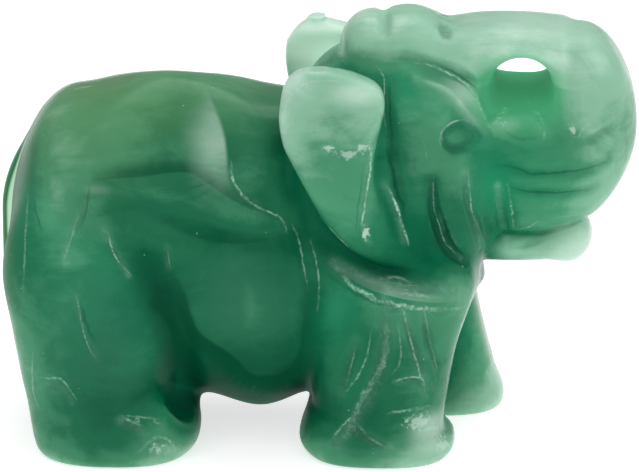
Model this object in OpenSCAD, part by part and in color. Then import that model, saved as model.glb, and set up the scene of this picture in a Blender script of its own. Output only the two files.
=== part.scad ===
// Elephant figurine with a raised trunk, carved and polished from one piece of green stone.
// Units are millimetres. +X is forward, +Y is the animal's left, +Z is up.
// The origin is on the ground, under the middle of the figurine.
// The stone is one piece. Each carved form is a solid of its own, cut to the surface of the
// form that it grows out of, so the forms meet face to face and share no material.

/* [Body] */
// Length of the body, from the rump to the front of the cheeks
body_length = 38.2; // [36:0.2:40]
// Width of the barrel at the belly
body_width = 22.6; // [21:0.2:24]
// Height of the back above the ground
back_height = 28.4; // [27:0.1:29.5]
// Clear height under the belly
belly_clearance = 2.4; // [1.5:0.1:4]

/* [Legs] */
// Height of each foot, up to the narrow of the leg
foot_height = 4.4; // [3.6:0.1:5.2]
// Distance over the outside of the front legs
front_stance = 22.8; // [22:0.2:25]
// Distance over the outside of the hind legs
hind_stance = 24; // [23:0.2:26]
// Width of each leg, across the figurine
leg_width = 10.6; // [9.4:0.1:11.2]
// Length of each front leg from back to front, above the foot
front_leg_length = 10.4; // [9:0.1:11.5]
// Length of each hind leg from back to front, above the foot
hind_leg_length = 11; // [10:0.1:12.5]
// Distance that the toes stand out in front of the leg
toe_length = 1.2; // [0.6:0.1:2]
// Distance that the heel stands out behind a front leg
heel_length = 0.8; // [0.3:0.1:1.4]
// Width of the saw cut between the left and right legs
leg_gap = 1.6; // [0.8:0.1:3]
// How far the left front foot stands ahead of the right one
front_stride = 3.6; // [0:0.1:4.2]
// How far the left hind foot stands behind the right one
hind_stride = 0.6; // [0:0.1:2]

/* [Head] */
// Length of the skull and cheeks from back to front
head_length = 18; // [16.6:0.2:19.4]
// Width over the cheeks
head_width = 17.6; // [16.4:0.2:19]
// Height of the crown above the ground
crown_height = 30.9; // [30:0.1:31.6]
// Height of the underside of the cheeks above the ground
cheek_clearance = 12.6; // [11.5:0.1:14]

/* [Ears] */
// Length of each ear from its top to its hanging tip
ear_length = 15.6; // [14:0.2:18]
// Breadth of each ear
ear_breadth = 7.8; // [6.8:0.1:9]
// Thickness of each ear
ear_thickness = 3.2; // [2.6:0.1:4]
// Distance over both ears
ear_span = 20.6; // [20:0.2:22.6]
// Height of the tops of the ears above the ground
ear_top = 31.4; // [31:0.1:32.2]
// Forward slope of the ears towards their hanging tips, in degrees
ear_slope = 20; // [12:1:26]

/* [Trunk] */
// How far the trunk's loop stands out in front of the chest
trunk_reach = 11; // [10:0.2:12.4]
// Width of the trunk at its loop
trunk_width = 12.4; // [10.6:0.2:13.6]
// How far the top of the loop rises above the crown
loop_rise = 2.8; // [2.3:0.1:3.6]
// Height of the underside of the loop above the ground
loop_bottom = 16.6; // [15.8:0.1:17.6]
// Length of the hole through the loop, along the figurine
hole_length = 7.3; // [5.4:0.1:7.8]
// Height of the hole through the loop
hole_height = 5.2; // [4.4:0.1:5.4]
// Thickness of the trunk over the hole
strand_over_hole = 1.7; // [1.3:0.1:2.6]
// Thickness of the trunk in front of the hole
bend_thickness = 5.8; // [4.8:0.1:7]
// Length of the curled tip that rests on the crown
tip_length = 8; // [6.4:0.1:9]
// Height of the curled tip above the top of the loop
tip_rise = 0.8; // [0.4:0.1:1.2]

/* [Lower lip] */
// How far the lower lip stands out in front of the chest
lip_reach = 7.5; // [5.6:0.1:8.6]
// Thickness of the lower lip at its tip
lip_thickness = 3.4; // [2.6:0.1:4.2]
// Width of the lower lip
lip_width = 7; // [5.6:0.1:9]

/* [Tail] */
// How far the tail stands out behind the rump
tail_proud = 0.8; // [0.5:0.1:1.4]
// Width of the tail
tail_width = 2.8; // [2:0.1:4]
// Height of the end of the tail above the ground
tail_end_height = 7; // [6:0.1:11]

/* [Quality] */
// Flats around each rounded form
sides = 28; // [20:4:36]
// Slices along each rounded form
slices = 20; // [14:1:26]

/* [Hidden] */

stone_green = "#3f8a63";
pale_green = "#8fc4a4";
RIGHT = -1;
LEFT = 1;

overall_length = tail_proud + body_length + trunk_reach;
rump_x = -overall_length / 2 + tail_proud;
chest_x = rump_x + body_length;
loop_x = chest_x + trunk_reach;
barrel_height = back_height - belly_clearance;
head_height = crown_height - cheek_clearance;
loop_top = crown_height + loop_rise;
loop_height = loop_top - loop_bottom;
front_leg_height = belly_clearance + 0.68 * barrel_height;
hind_leg_height = belly_clearance + 0.83 * barrel_height;
rooted = 0.11 * head_height;

// ---- Smooth tables: each row is [position, value, value, ...] ----

// Slope of a table at row k, from the rows beside it
function slope(rows, k) =
    let (a = rows[max(k - 1, 0)], b = rows[min(k + 1, len(rows) - 1)]) (b - a) / (b[0] - a[0]);
// Number of the row at or before position p
function row_before(rows, p) =
    max([0, for (k = [0 : len(rows) - 2]) if (rows[k][0] <= p) k]);
// The table's smooth row at position p
function row_at(rows, p) =
    let (k = row_before(rows, p), a = rows[k], b = rows[k + 1], h = b[0] - a[0], t = (p - a[0]) / h)
    a * (1 + 2 * t) * (1 - t) * (1 - t) + b * t * t * (3 - 2 * t)
        + slope(rows, k) * h * t * (1 - t) * (1 - t) - slope(rows, k + 1) * h * t * t * (1 - t);

// Share of full size at distance d from a rounded end that is r long
function rounded(d, r) = d >= r ? 1 : max(sqrt(1 - pow(1 - max(d, 0) / r, 2)), 0.04);
// Positions from a to b, closer together near both ends
function spaced(a, b, n) = [for (i = [0 : n]) a + (b - a) * (1 - cos(180 * i / n)) / 2];
// One point of a superellipse: power 2 is an ellipse, and more is squarer
function oval_point(angle, half_a, half_b, power) =
    [half_a * sign(cos(angle)) * pow(abs(cos(angle)), 2 / power),
     half_b * sign(sin(angle)) * pow(abs(sin(angle)), 2 / power)];
function oval(half_a, half_b, power) =
    [for (k = [0 : sides - 1]) oval_point(360 * (k + 0.5) / sides, half_a, half_b, power)];

// A rounded form, as slices between each outline and the next
module loft(outlines) {
    for (i = [0 : len(outlines) - 2]) {
        points = concat(outlines[i], outlines[i + 1]);
        hull() polyhedron(points, [[for (k = [0 : len(points) - 1]) k]]);
    }
}

// A form along X. Rows are [x, bottom, top, half width], and both ends are rounded towards end_z.
module barrel(rows, end_z, end_rounds, power) {
    last = len(rows) - 1;
    loft([for (x = spaced(rows[0][0], rows[last][0], slices))
        let (r = row_at(rows, x),
             back = rounded(x - rows[0][0], end_rounds[0]),
             front = rounded(rows[last][0] - x, end_rounds[1]),
             anchor = x - rows[0][0] < end_rounds[0] ? end_z[0] : end_z[1],
             share = back * front,
             low = anchor + (r[1] - anchor) * share,
             high = anchor + (r[2] - anchor) * share)
        [for (p = oval(r[3] * share, (high - low) / 2, power)) [x, p[0], (low + high) / 2 + p[1]]]]);
}

// A form along Z, from the ground up. Rows are [z, back, front, y, half width].
module column(rows, foot_round, top_round, power) {
    last = len(rows) - 1;
    loft([for (z = spaced(rows[0][0], rows[last][0], slices))
        let (r = row_at(rows, z),
             share = rounded(rows[last][0] - z, top_round),
             inset = foot_round * (1 - rounded(z - rows[0][0] + foot_round / 4, foot_round)))
        [for (p = oval((r[2] - r[1]) / 2 * share - inset, r[4] * share - inset, power))
            [(r[1] + r[2]) / 2 + p[0], r[3] + p[1], z]]]);
}

module ball(centre, half_sizes) {
    translate(centre) scale(half_sizes) sphere(1, $fn = 32);
}

// ---- Carved forms, whole ----

// Stations and swellings are given as shares of each form's own length, height or width.

module torso_form() {
    half = body_width / 2;
    barrel([[rump_x, belly_clearance + 0.1 * barrel_height, back_height - 0.073 * barrel_height, 0.93 * half],
            [rump_x + 0.13 * body_length, belly_clearance + 0.07 * barrel_height,
             back_height - 0.042 * barrel_height, 0.98 * half],
            [rump_x + 0.31 * body_length, belly_clearance + 0.046 * barrel_height, back_height, half],
            [rump_x + 0.52 * body_length, belly_clearance, back_height - 0.019 * barrel_height, 0.955 * half],
            [rump_x + 0.67 * body_length, belly_clearance + 0.04 * barrel_height,
             back_height - 0.042 * barrel_height, 0.86 * half],
            [rump_x + 0.87 * body_length, belly_clearance + 0.155 * barrel_height,
             back_height - 0.17 * barrel_height, 0.77 * half],
            [rump_x + 0.99 * body_length, belly_clearance + 0.19 * barrel_height,
             back_height - 0.44 * barrel_height, 0.65 * half]],
           [belly_clearance + 0.525 * barrel_height, belly_clearance + 0.39 * barrel_height],
           [0.136 * body_length, 0.183 * body_length], 2.5);
}

module head_form() {
    half = head_width / 2;
    back_x = chest_x - 0.933 * head_length;
    barrel([[back_x, cheek_clearance + 0.16 * head_height, crown_height - 0.08 * head_height, 0.86 * half],
            [back_x + 0.28 * head_length, cheek_clearance + 0.03 * head_height, crown_height, 0.99 * half],
            [back_x + 0.61 * head_length, cheek_clearance, crown_height - 0.01 * head_height, half],
            [back_x + 0.83 * head_length, cheek_clearance + 0.03 * head_height,
             crown_height - 0.11 * head_height, 0.89 * half],
            [back_x + head_length, cheek_clearance + 0.11 * head_height,
             crown_height - 0.27 * head_height, 0.77 * half]],
           [cheek_clearance + 0.57 * head_height, cheek_clearance + 0.4 * head_height],
           [0.28 * head_length, 0.25 * head_length], 2.5);
}

module trunk_form() {
    half = trunk_width / 2;
    hole_x = loop_x - bend_thickness - hole_length / 2;
    hole_z = loop_top - strand_over_hole - hole_height / 2;
    tip_front = chest_x - 0.42 * trunk_reach;
    lobe_height = 0.275 * tip_length;
    difference() {
        union() {
            barrel([[chest_x - 0.73 * trunk_reach, loop_bottom + 0.06 * loop_height,
                     loop_top - 0.14 * loop_height, 1.1 * half],
                    [chest_x - 0.18 * trunk_reach, loop_bottom + 0.047 * loop_height,
                     loop_top - 0.012 * loop_height, 1.1 * half],
                    [chest_x + 0.27 * trunk_reach, loop_bottom + 0.012 * loop_height, loop_top, half],
                    [loop_x - 0.36 * trunk_reach, loop_bottom + 0.012 * loop_height, loop_top, half],
                    [loop_x, loop_bottom + 0.094 * loop_height, loop_top - 0.012 * loop_height, 0.94 * half]],
                   [loop_bottom + 0.43 * loop_height, loop_bottom + 0.5 * loop_height],
                   [0.27 * trunk_reach, 0.51 * trunk_reach], 3.2);
            barrel([[tip_front - 0.875 * tip_length, crown_height - rooted,
                     loop_top - 0.21 * loop_rise, 0.77 * half],
                    [tip_front, crown_height - 1.2 * rooted, loop_top - 0.39 * loop_rise, 0.855 * half],
                    [chest_x + 0.18 * trunk_reach, crown_height - 1.5 * rooted,
                     loop_top - 0.04 * loop_rise, 0.92 * half]],
                   [crown_height, crown_height], [0.19 * tip_length, 0.125 * tip_length], 2.4);
            ball([tip_front - 0.34 * tip_length, 0, loop_top + tip_rise - lobe_height],
                 [0.4 * tip_length, 0.74 * half, lobe_height]);
            ball([tip_front - 0.78 * tip_length, 0, loop_top + 0.4 * tip_rise - lobe_height],
                 [0.24 * tip_length, 0.645 * half, lobe_height]);
        }
        translate([hole_x, 0, hole_z])
            rotate([90, 0, 0]) scale([hole_length, hole_height, 1])
                cylinder(d = 1, h = 2 * trunk_width, center = true, $fn = 40);
    }
}

module lower_lip_form() {
    half = lip_width / 2;
    under = loop_bottom - 0.7 * lip_thickness;
    tip_x = chest_x + lip_reach;
    barrel([[chest_x - 0.53 * lip_reach, under + 0.06 * lip_thickness, under + 0.76 * lip_thickness, half],
            [chest_x + 0.13 * lip_reach, under, under + 0.82 * lip_thickness, half],
            [tip_x - 0.4 * lip_reach, under + 0.03 * lip_thickness, under + 0.88 * lip_thickness, half],
            [tip_x, under + 0.03 * lip_thickness, under + lip_thickness, half]],
           [under + 0.41 * lip_thickness, under + 0.59 * lip_thickness],
           [0.13 * lip_reach, 0.24 * lip_reach], 2.3);
}

// A leaf-shaped ear, hanging from the side of the head. It leans back to its top, which is
// broad and round, and its hanging tip is thin and close to the cheek.
module ear_form(side) {
    bottom = ear_top - ear_length;
    top_x = chest_x - 0.93 * head_length + ear_breadth / 2;
    outer = ear_span / 2;
    loft([for (z = spaced(bottom, ear_top, slices))
        let (drop = ear_top - z,
             crown = pow(1 - pow(1 - min(drop / (0.35 * ear_length), 1), 2.2), 1 / 2.2),
             tip = pow(1 - pow(1 - min((z - bottom) / (0.385 * ear_length), 1), 1.8), 1 / 1.8),
             share = max(min(crown, tip), 0.1),
             thick = ear_thickness * (0.35 + 0.65 * share),
             lean = outer - 0.16 * ear_thickness * (2 - crown - tip))
        [for (p = oval(ear_breadth / 2 * share, thick / 2, 2.6))
            [top_x + (1 - tip) * 0.18 * ear_breadth + (drop - 0.19 * ear_length) * tan(ear_slope) + p[0],
             side * (lean - thick / 2) + p[1], z]]]);
}

// One side of the figurine, out from the saw cut between the legs
module own_side(side) {
    reach = 2 * overall_length;
    translate([-reach, side > 0 ? leg_gap / 2 : -leg_gap / 2 - reach, -reach / 2])
        cube([2 * reach, reach, reach]);
}

module front_leg_form(side) {
    half = leg_width / 2;
    y = side * (front_stance / 2 - half);
    step = side == LEFT ? front_stride : 0;
    back = chest_x - 1.36 * front_leg_length;
    front = back + front_leg_length;
    intersection() {
        column([[0, back + step - 0.5 * heel_length, front + step + 0.75 * toe_length, y, half],
                [0.3 * foot_height, back + step - 1.25 * heel_length, front + step + toe_length, y, half],
                [0.6 * foot_height, back + step - 0.9 * heel_length, front + step + 0.7 * toe_length,
                 y, 0.98 * half],
                [foot_height, back + step, front + step, y, 0.925 * half],
                [0.45 * front_leg_height, back + 0.5 * step - 0.01 * front_leg_length,
                 front + 0.5 * step + 0.087 * front_leg_length, y, 0.925 * half],
                [0.65 * front_leg_height, back - 0.02 * front_leg_length,
                 front + 0.21 * front_leg_length, y - side * 0.04 * half, 0.905 * half],
                [front_leg_height, back + 0.02 * front_leg_length, front + 0.29 * front_leg_length,
                 y - side * 0.26 * half, 0.81 * half]],
               0.32 * foot_height, 0.35 * front_leg_height, 2.7);
        own_side(side);
    }
}

module hind_leg_form(side) {
    half = leg_width / 2;
    y = side * (hind_stance / 2 - half);
    step = side == LEFT ? -hind_stride : 0;
    back = rump_x + 0.058 * body_length;
    front = back + hind_leg_length;
    intersection() {
        column([[0, back + step, front + step + toe_length, y, half],
                [0.32 * foot_height, back + step - 0.036 * hind_leg_length,
                 front + step + 1.67 * toe_length, y, half],
                [0.77 * foot_height, back + step - 0.045 * hind_leg_length,
                 front + step + 1.75 * toe_length, y, 0.98 * half],
                [1.36 * foot_height, back + 0.8 * step - 0.08 * hind_leg_length,
                 front + 0.8 * step - 0.02 * hind_leg_length, y, 0.925 * half],
                [0.42 * hind_leg_height, back - 0.145 * hind_leg_length,
                 front - 0.064 * hind_leg_length, y, 0.96 * half],
                [0.625 * hind_leg_height, back - 0.21 * hind_leg_length,
                 front - 0.127 * hind_leg_length, y - side * 0.04 * half, half],
                [hind_leg_height, back - 0.11 * hind_leg_length, front - 0.2 * hind_leg_length,
                 y - side * 0.23 * half, 0.89 * half]],
               0.25 * foot_height, 0.375 * hind_leg_height, 2.5);
        own_side(side);
    }
}

// The tail hangs down the middle of the rump and follows its curve
module tail_form() {
    top = back_height - 0.092 * barrel_height;
    depth = 1.75 * tail_proud;
    curl_from = belly_clearance + 0.58 * barrel_height;
    tuck_from = belly_clearance + 0.41 * barrel_height;
    loft([for (z = spaced(tail_end_height, top, slices))
        let (up = max(z - curl_from, 0) / barrel_height,
             down = max(tuck_from - z, 0) / barrel_height,
             x = rump_x - tail_proud + depth + barrel_height * (1.61 * up * up + 0.52 * down * down),
             share = rounded(top - z, 0.72 * tail_width) * rounded(z - tail_end_height, 0.72 * tail_width))
        [for (p = oval(depth * share, tail_width / 2 * share, 2)) [x + p[0], p[1], z]]]);
}

// ---- Solids, each cut to what it grows out of ----

module torso() color(stone_green) torso_form();
module head() color(stone_green) difference() {
    head_form();
    torso_form();
}
module leg(side) color(stone_green) difference() {
    children();
    torso_form();
    head_form();
}
module trunk() color(pale_green) difference() {
    trunk_form();
    head_form();
    torso_form();
}
module lower_lip() color(pale_green) difference() {
    lower_lip_form();
    trunk_form();
    head_form();
    torso_form();
}
module ear(side) color(pale_green) difference() {
    ear_form(side);
    trunk_form();
    head_form();
    torso_form();
    front_leg_form(side);
}
module tail() color(stone_green) difference() {
    tail_form();
    torso_form();
    hind_leg_form(RIGHT);
    hind_leg_form(LEFT);
}

torso();
head();
trunk();
lower_lip();
ear(RIGHT);  // ear_right
ear(LEFT);  // ear_left
leg(RIGHT) front_leg_form(RIGHT);  // leg_front_right
leg(LEFT) front_leg_form(LEFT);  // leg_front_left
leg(RIGHT) hind_leg_form(RIGHT);  // leg_hind_right
leg(LEFT) hind_leg_form(LEFT);  // leg_hind_left
tail();
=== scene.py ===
"""Jade elephant figurine with a raised, looped trunk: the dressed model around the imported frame.

The stone is sculpted as one solid field of distances in millimetres, from the same forms as the
CAD solids, carved with grooves and ridges, and then divided along the creases into one piece for
each CAD node. Neighbouring pieces share their border points and normals, so no seam shows.
The elephant faces +X and stands on z = 0; its right side, towards -Y, is the one in the photo.
"""
import math
import bpy
import numpy as np
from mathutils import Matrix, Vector, kdtree


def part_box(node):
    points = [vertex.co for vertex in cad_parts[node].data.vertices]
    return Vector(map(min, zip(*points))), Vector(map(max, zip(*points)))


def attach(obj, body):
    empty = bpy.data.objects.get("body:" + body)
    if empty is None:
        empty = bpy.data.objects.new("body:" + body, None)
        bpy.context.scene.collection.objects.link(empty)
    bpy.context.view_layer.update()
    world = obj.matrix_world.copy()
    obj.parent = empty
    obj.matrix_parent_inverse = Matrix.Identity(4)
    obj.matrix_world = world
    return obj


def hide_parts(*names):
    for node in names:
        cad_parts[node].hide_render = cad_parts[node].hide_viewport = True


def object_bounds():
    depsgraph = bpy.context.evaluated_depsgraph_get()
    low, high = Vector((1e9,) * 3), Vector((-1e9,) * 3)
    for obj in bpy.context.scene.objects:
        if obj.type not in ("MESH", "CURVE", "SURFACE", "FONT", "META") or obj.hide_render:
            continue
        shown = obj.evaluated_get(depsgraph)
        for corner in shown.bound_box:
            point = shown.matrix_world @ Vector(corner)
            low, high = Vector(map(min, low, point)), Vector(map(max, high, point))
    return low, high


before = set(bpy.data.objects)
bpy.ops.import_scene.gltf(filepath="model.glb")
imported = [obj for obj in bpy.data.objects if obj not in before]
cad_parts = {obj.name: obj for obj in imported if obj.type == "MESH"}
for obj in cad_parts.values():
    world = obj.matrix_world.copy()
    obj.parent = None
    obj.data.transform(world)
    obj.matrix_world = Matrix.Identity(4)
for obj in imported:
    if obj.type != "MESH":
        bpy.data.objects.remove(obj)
cad_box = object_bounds()

# ------------------------ sizes, from the frame
DESIGN_LENGTH = 50.0                  # millimetres over everything
LOW = np.array(cad_box[0], float)
HIGH = np.array(cad_box[1], float)
UNIT = (HIGH[0] - LOW[0]) / DESIGN_LENGTH      # metres to one millimetre of the design


def span(node):
    """Lowest and highest corner of a CAD node, in design millimetres."""
    lo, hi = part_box(node)
    return np.array(lo) / UNIT, np.array(hi) / UNIT


torso_lo, torso_hi = span("torso")
RUMP_X = torso_lo[0]
BODY_L = 38.2
CHEST_X = RUMP_X + BODY_L
BACK, BELLY = torso_hi[2], torso_lo[2]
BODY_HALF = (torso_hi[1] - torso_lo[1]) / 2
LOOP_X = span("trunk")[1][0]          # the foremost point of the loop
LIP_X = span("lower_lip")[1][0]
TAIL_X = span("tail")[0][0]
CROWN, CHEEK, HEAD_L, HEAD_HALF = 30.9, 12.6, 18.0, 8.8
LOOP_TOP, LOOP_LOW = 33.7, 16.6
TRUNK_HALF = 6.2
REACH = LOOP_X - CHEST_X
HOLE = (LOOP_X - 9.0, LOOP_TOP - 4.17, 2.3, 2.0)     # x, z, half length, half height
FOOT = 4.4                            # height of a foot
LEG_HALF = 5.3
GAP = 1.6                             # the saw cut between a pair of legs


def srgb(r, g, b):
    """A screen colour, 0 to 255, as the linear colour a shader takes."""
    return tuple((c / 255 / 12.92) if c < 11 else ((c / 255 + 0.055) / 1.055) ** 2.4 for c in (r, g, b))


def settings(node, values):
    """Sets inputs of a shader node by their names."""
    for name, value in values.items():
        node.inputs[name].default_value = value


# ------------------------ the field
PITCH = 0.2
PAD = 1.0
FAR = 6.0
MARGIN = 1.5                                 # how far a form's box reaches beyond it
GX = np.arange(LOW[0] / UNIT - PAD, HIGH[0] / UNIT + PAD, PITCH)
GY = np.arange(LOW[1] / UNIT - PAD, HIGH[1] / UNIT + PAD, PITCH)
GZ = np.arange(-PAD, HIGH[2] / UNIT + PAD, PITCH)
GRID0 = np.array([GX[0], GY[0], GZ[0]])
SHAPE = (len(GX), len(GY), len(GZ))
PARTS = []                                   # the nodes, in the order in which they are added
field = np.full(SHAPE, FAR, np.float32)      # distance to the stone's surface, negative inside
best = np.full(SHAPE, FAR, np.float32)       # the same, of the part that holds the point
owner = np.full(SHAPE, -1, np.int8)          # number of that part
frost = np.zeros(SHAPE, np.float32)
# painted shade along the burr cuts, given by each cut's shade
dark = np.zeros(SHAPE, np.float32)


def along_x(values):
    """One value for each X of a block, ready to spread over it."""
    return np.asarray(values, np.float32)[:, None, None]


def along_z(values):
    """One value for each Z of a block, ready to spread over it."""
    return np.asarray(values, np.float32)[None, None, :]


def block(lo, hi):
    """Slices of the grid that cover a box."""
    out = []
    for k, axis in enumerate((GX, GY, GZ)):
        start = int(np.clip(np.searchsorted(axis, lo[k]) - 1, 0, len(axis)))
        stop = int(np.clip(np.searchsorted(axis, hi[k]) + 1, 0, len(axis)))
        out.append(slice(start, stop))
    return tuple(out)


def coords(s):
    """The x, y and z of a block, ready to spread over it."""
    return along_x(GX[s[0]]), GY[s[1]][None, :, None].astype(np.float32), along_z(GZ[s[2]])


def smin(a, b, k):
    """The lower of two fields, with a fillet of about k where they meet."""
    h = np.clip(0.5 + 0.5 * (b - a) / k, 0, 1)
    return b + (a - b) * h - k * h * (1 - h)


def smax(a, b, k):
    """The higher of two fields, with an edge rounded by about k where they meet."""
    return -smin(-a, -b, k)


def rows_at(rows, p):
    """Smooth table: each row is [position, value, ...]; returns one array for each value."""
    rows = np.array(rows, float)
    pos = rows[:, 0]
    n = len(pos)
    prev, nxt = np.maximum(np.arange(n) - 1, 0), np.minimum(np.arange(n) + 1, n - 1)
    slopes = (rows[nxt] - rows[prev]) / (pos[nxt] - pos[prev])[:, None]
    q = np.clip(p, pos[0], pos[-1])
    k = np.clip(np.searchsorted(pos, q, side="right") - 1, 0, n - 2)
    h = pos[k + 1] - pos[k]
    t = (q - pos[k]) / h
    return [(rows[k, c] * (1 + 2 * t) * (1 - t) ** 2 + rows[k + 1, c] * t * t * (3 - 2 * t)
             + slopes[k, c] * h * t * (1 - t) ** 2 - slopes[k + 1, c] * h * t * t * (1 - t)
             ).astype(np.float32) for c in range(1, rows.shape[1])]


def squarish(u, v, power):
    """1 on the outline of a rounded square, less inside it; power says how square it is."""
    return (np.abs(u) ** power + np.abs(v) ** power) ** (1 / power)


def barrel(rows, end_z, ends, power):
    """A form along X. Rows are [x, bottom, top, half width]; its round ends are as long as ends
    says and close at the heights end_z."""
    rows = np.array(rows, float)
    x0, x1 = rows[0, 0], rows[-1, 0]

    def f(x, y, z):
        px = x[:, 0, 0]
        low, high, half = rows_at(rows, px)
        back = 1 - (px - x0) / ends[0]
        front = 1 - (x1 - px) / ends[1]
        e = np.maximum(np.maximum(back, front), 0)
        share = np.sqrt(np.clip(1 - e * e, 0, 1))
        anchor = np.where(px - x0 < ends[0], end_z[0], end_z[1])
        mid, tall = (low + high) / 2, (high - low) / 2
        mid = anchor + (mid - anchor) * share
        rho = squarish(y / along_x(half), (z - along_x(mid)) / along_x(tall), power)
        return (np.sqrt(rho * rho + along_x(e) ** 2) - 1) * along_x(np.minimum(half, tall))

    wide = rows[:, 3].max() + MARGIN
    return f, (np.array([x0 - MARGIN, -wide, rows[:, 1].min() - 2]),
               np.array([x1 + MARGIN, wide, rows[:, 2].max() + 2]))


def column(rows, foot_round, top_round, power, inner):
    """A form along Z. Rows are [z, back, front, y, half width]; its sole is flat, with an edge
    rounded by foot_round, its top closes over top_round, and the saw cut between a pair of legs
    keeps it clear of the middle by inner."""
    rows = np.array(rows, float)
    z0, z1 = rows[0, 0], rows[-1, 0]

    def f(x, y, z):
        pz = z[0, 0, :]
        back, front, middle, half = rows_at(rows, pz)
        e = np.clip(1 - (z1 - pz) / top_round, 0, None)
        d = np.clip((pz - z0 + foot_round / 4) / foot_round, 0, 1)
        inset = foot_round * (1 - np.sqrt(np.clip(1 - (1 - d) ** 2, 0, 1)))
        long, wide = np.maximum((front - back) / 2 - inset, 0.3), np.maximum(half - inset, 0.3)
        rho = squarish((x - along_z((front + back) / 2)) / along_z(long),
                       (y - along_z(middle)) / along_z(wide), power)
        out = (np.sqrt(rho * rho + along_z(e) ** 2) - 1) * along_z(np.minimum(long, wide))
        saw = inner - y * math.copysign(1, rows[0, 3])
        return np.maximum(smax(out, saw, 0.4), -z)

    wide = rows[:, 4].max() + MARGIN
    return f, (np.array([rows[:, 1].min() - MARGIN, rows[:, 3].min() - wide, -MARGIN]),
               np.array([rows[:, 2].max() + MARGIN, rows[:, 3].max() + wide, z1 + MARGIN]))


def ball(centre, radii):
    """An ellipsoid."""
    c, r = np.array(centre, float), np.array(radii, float)

    def f(x, y, z):
        rho = np.sqrt(((x - c[0]) / r[0]) ** 2 + ((y - c[1]) / r[1]) ** 2 + ((z - c[2]) / r[2]) ** 2)
        return ((rho - 1) * r.min()).astype(np.float32)

    return f, (c - r - MARGIN, c + r + MARGIN)


def joined(forms, k):
    """One field for several forms, smoothly joined."""
    lo = np.min([box[0] for _, box in forms], 0)
    hi = np.max([box[1] for _, box in forms], 0)

    def f(x, y, z):
        out = forms[0][0](x, y, z)
        for g, _ in forms[1:]:
            out = smin(out, g(x, y, z), k)
        return out

    return f, (lo, hi)


def add_part(name, form, k):
    """Joins a form to the stone over a fillet k, and notes which part holds each point."""
    f, box = form
    s = block(*box)
    values = f(*coords(s)).astype(np.float32)
    number = len(PARTS)
    PARTS.append(name)
    here, own = best[s], owner[s]
    first = (values < 0) & (here >= 0) | (values < here) & (here >= 0)
    own[first] = number
    here[first] = values[first]
    field[s] = smin(field[s], values, k)


def cut(form, k):
    """Takes a form out of the stone and rounds the edge by k."""
    f, box = form
    s = block(*box)
    field[s] = smax(field[s], -f(*coords(s)).astype(np.float32), k)


# ------------------------ the carved forms
def proportioned(place_of, rows, end_heights, end_lengths, power):
    """A barrel drawn in shares of its length, height and half width. Each row says how far along
    it lies, how far its bottom and its top are above those of the form, and how wide it is."""
    start, long, low, top, half = place_of
    tall = top - low
    sized = [[start + along * long, low + under * tall, top + over * tall, wide * half]
             for along, under, over, wide in rows]
    return barrel(sized, [low + e * tall for e in end_heights], [e * long for e in end_lengths], power)


torso = proportioned(
    (RUMP_X, BODY_L, BELLY, BACK, BODY_HALF),
    [[0, 0.1, -0.03, 0.93], [0.13, 0.07, -0.044, 0.98], [0.31, 0.048, 0.014, 1],
     [0.41, 0.035, 0.004, 0.98], [0.52, -0.007, -0.035, 0.955], [0.605, 0.035, -0.05, 0.9],
     [0.67, 0.1, -0.055, 0.86], [0.87, 0.19, -0.17, 0.77], [0.98, 0.34, -0.44, 0.65]],
    [0.525, 0.39], [0.136, 0.183], 2.5)
head = proportioned(
    (CHEST_X - 0.933 * HEAD_L, HEAD_L, CHEEK, CROWN, HEAD_HALF),
    [[0, 0.16, -0.08, 0.86], [0.28, 0.03, 0, 0.99], [0.61, 0, -0.01, 1],
     [0.83, 0.03, -0.11, 0.89], [1, 0.11, -0.27, 0.77]],
    [0.57, 0.4], [0.28, 0.25], 2.6)
loop = proportioned(
    (CHEST_X, REACH, LOOP_LOW, LOOP_TOP, TRUNK_HALF),
    [[-0.73, 0.06, -0.14, 1.1], [-0.18, 0.047, -0.03, 1.1], [0.27, 0.012, -0.028, 1],
     [0.64, 0.08, -0.045, 1], [1, 0.18, -0.07, 0.94]],
    [0.43, 0.5], [0.27, 0.39], 3.0)

TIP_X, TIP_L = CHEST_X - 0.42 * REACH, 8.0
strand = barrel(
    [[TIP_X - 0.9 * TIP_L, CROWN - 2, LOOP_TOP - 1.7, 0.74 * TRUNK_HALF],
     [TIP_X, CROWN - 2.4, LOOP_TOP - 1.1, 0.855 * TRUNK_HALF],
     [CHEST_X + 2, CROWN - 3, LOOP_TOP - 0.5, 0.92 * TRUNK_HALF],
     [CHEST_X + 6, CROWN - 3, LOOP_TOP - 0.9, 0.8 * TRUNK_HALF]],
    [CROWN, CROWN], [1.5, 1], 2.4)
lobes = [ball([TIP_X - 0.29 * TIP_L, 0, 32.15], [3.1, 4.6, 2.2]),
         ball([TIP_X - 0.68 * TIP_L, 0, 31.7], [2.0, 4.0, 2.2])]
whole_trunk = joined([loop, strand] + lobes, 1.3)


def tunnel(x, y, z):
    """The hole through the loop: narrowest half way, its mouths flared sideways, and its floor
    ramped down towards the elephant's right, as it was ground from that side."""
    hole_x, hole_z, half_l, half_h = HOLE
    waist = 1 - 0.1 * np.exp(-(y / 3.0) ** 2)
    flare = np.clip((np.abs(y) - 2.8) / 3.4, 0, 1.3) ** 2
    slope = np.clip((-y - 1.2) / 5.0, 0, 1.2) ** 1.5 * (z < hole_z)
    wide = half_l * (waist + 0.35 * flare + 0.2 * slope)
    tall = half_h * (waist + 0.08 * flare + 0.9 * slope)
    u, v = np.abs(x - hole_x + 0.4 * flare) / wide, np.abs(z - hole_z) / tall
    round_roof = np.sqrt(u ** 2 + v ** 2)
    flat_floor = (u ** 3 + (1.17 * v) ** 3) ** (1 / 3)
    return (np.where(z < hole_z, flat_floor, round_roof) - 1) * half_h


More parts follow.
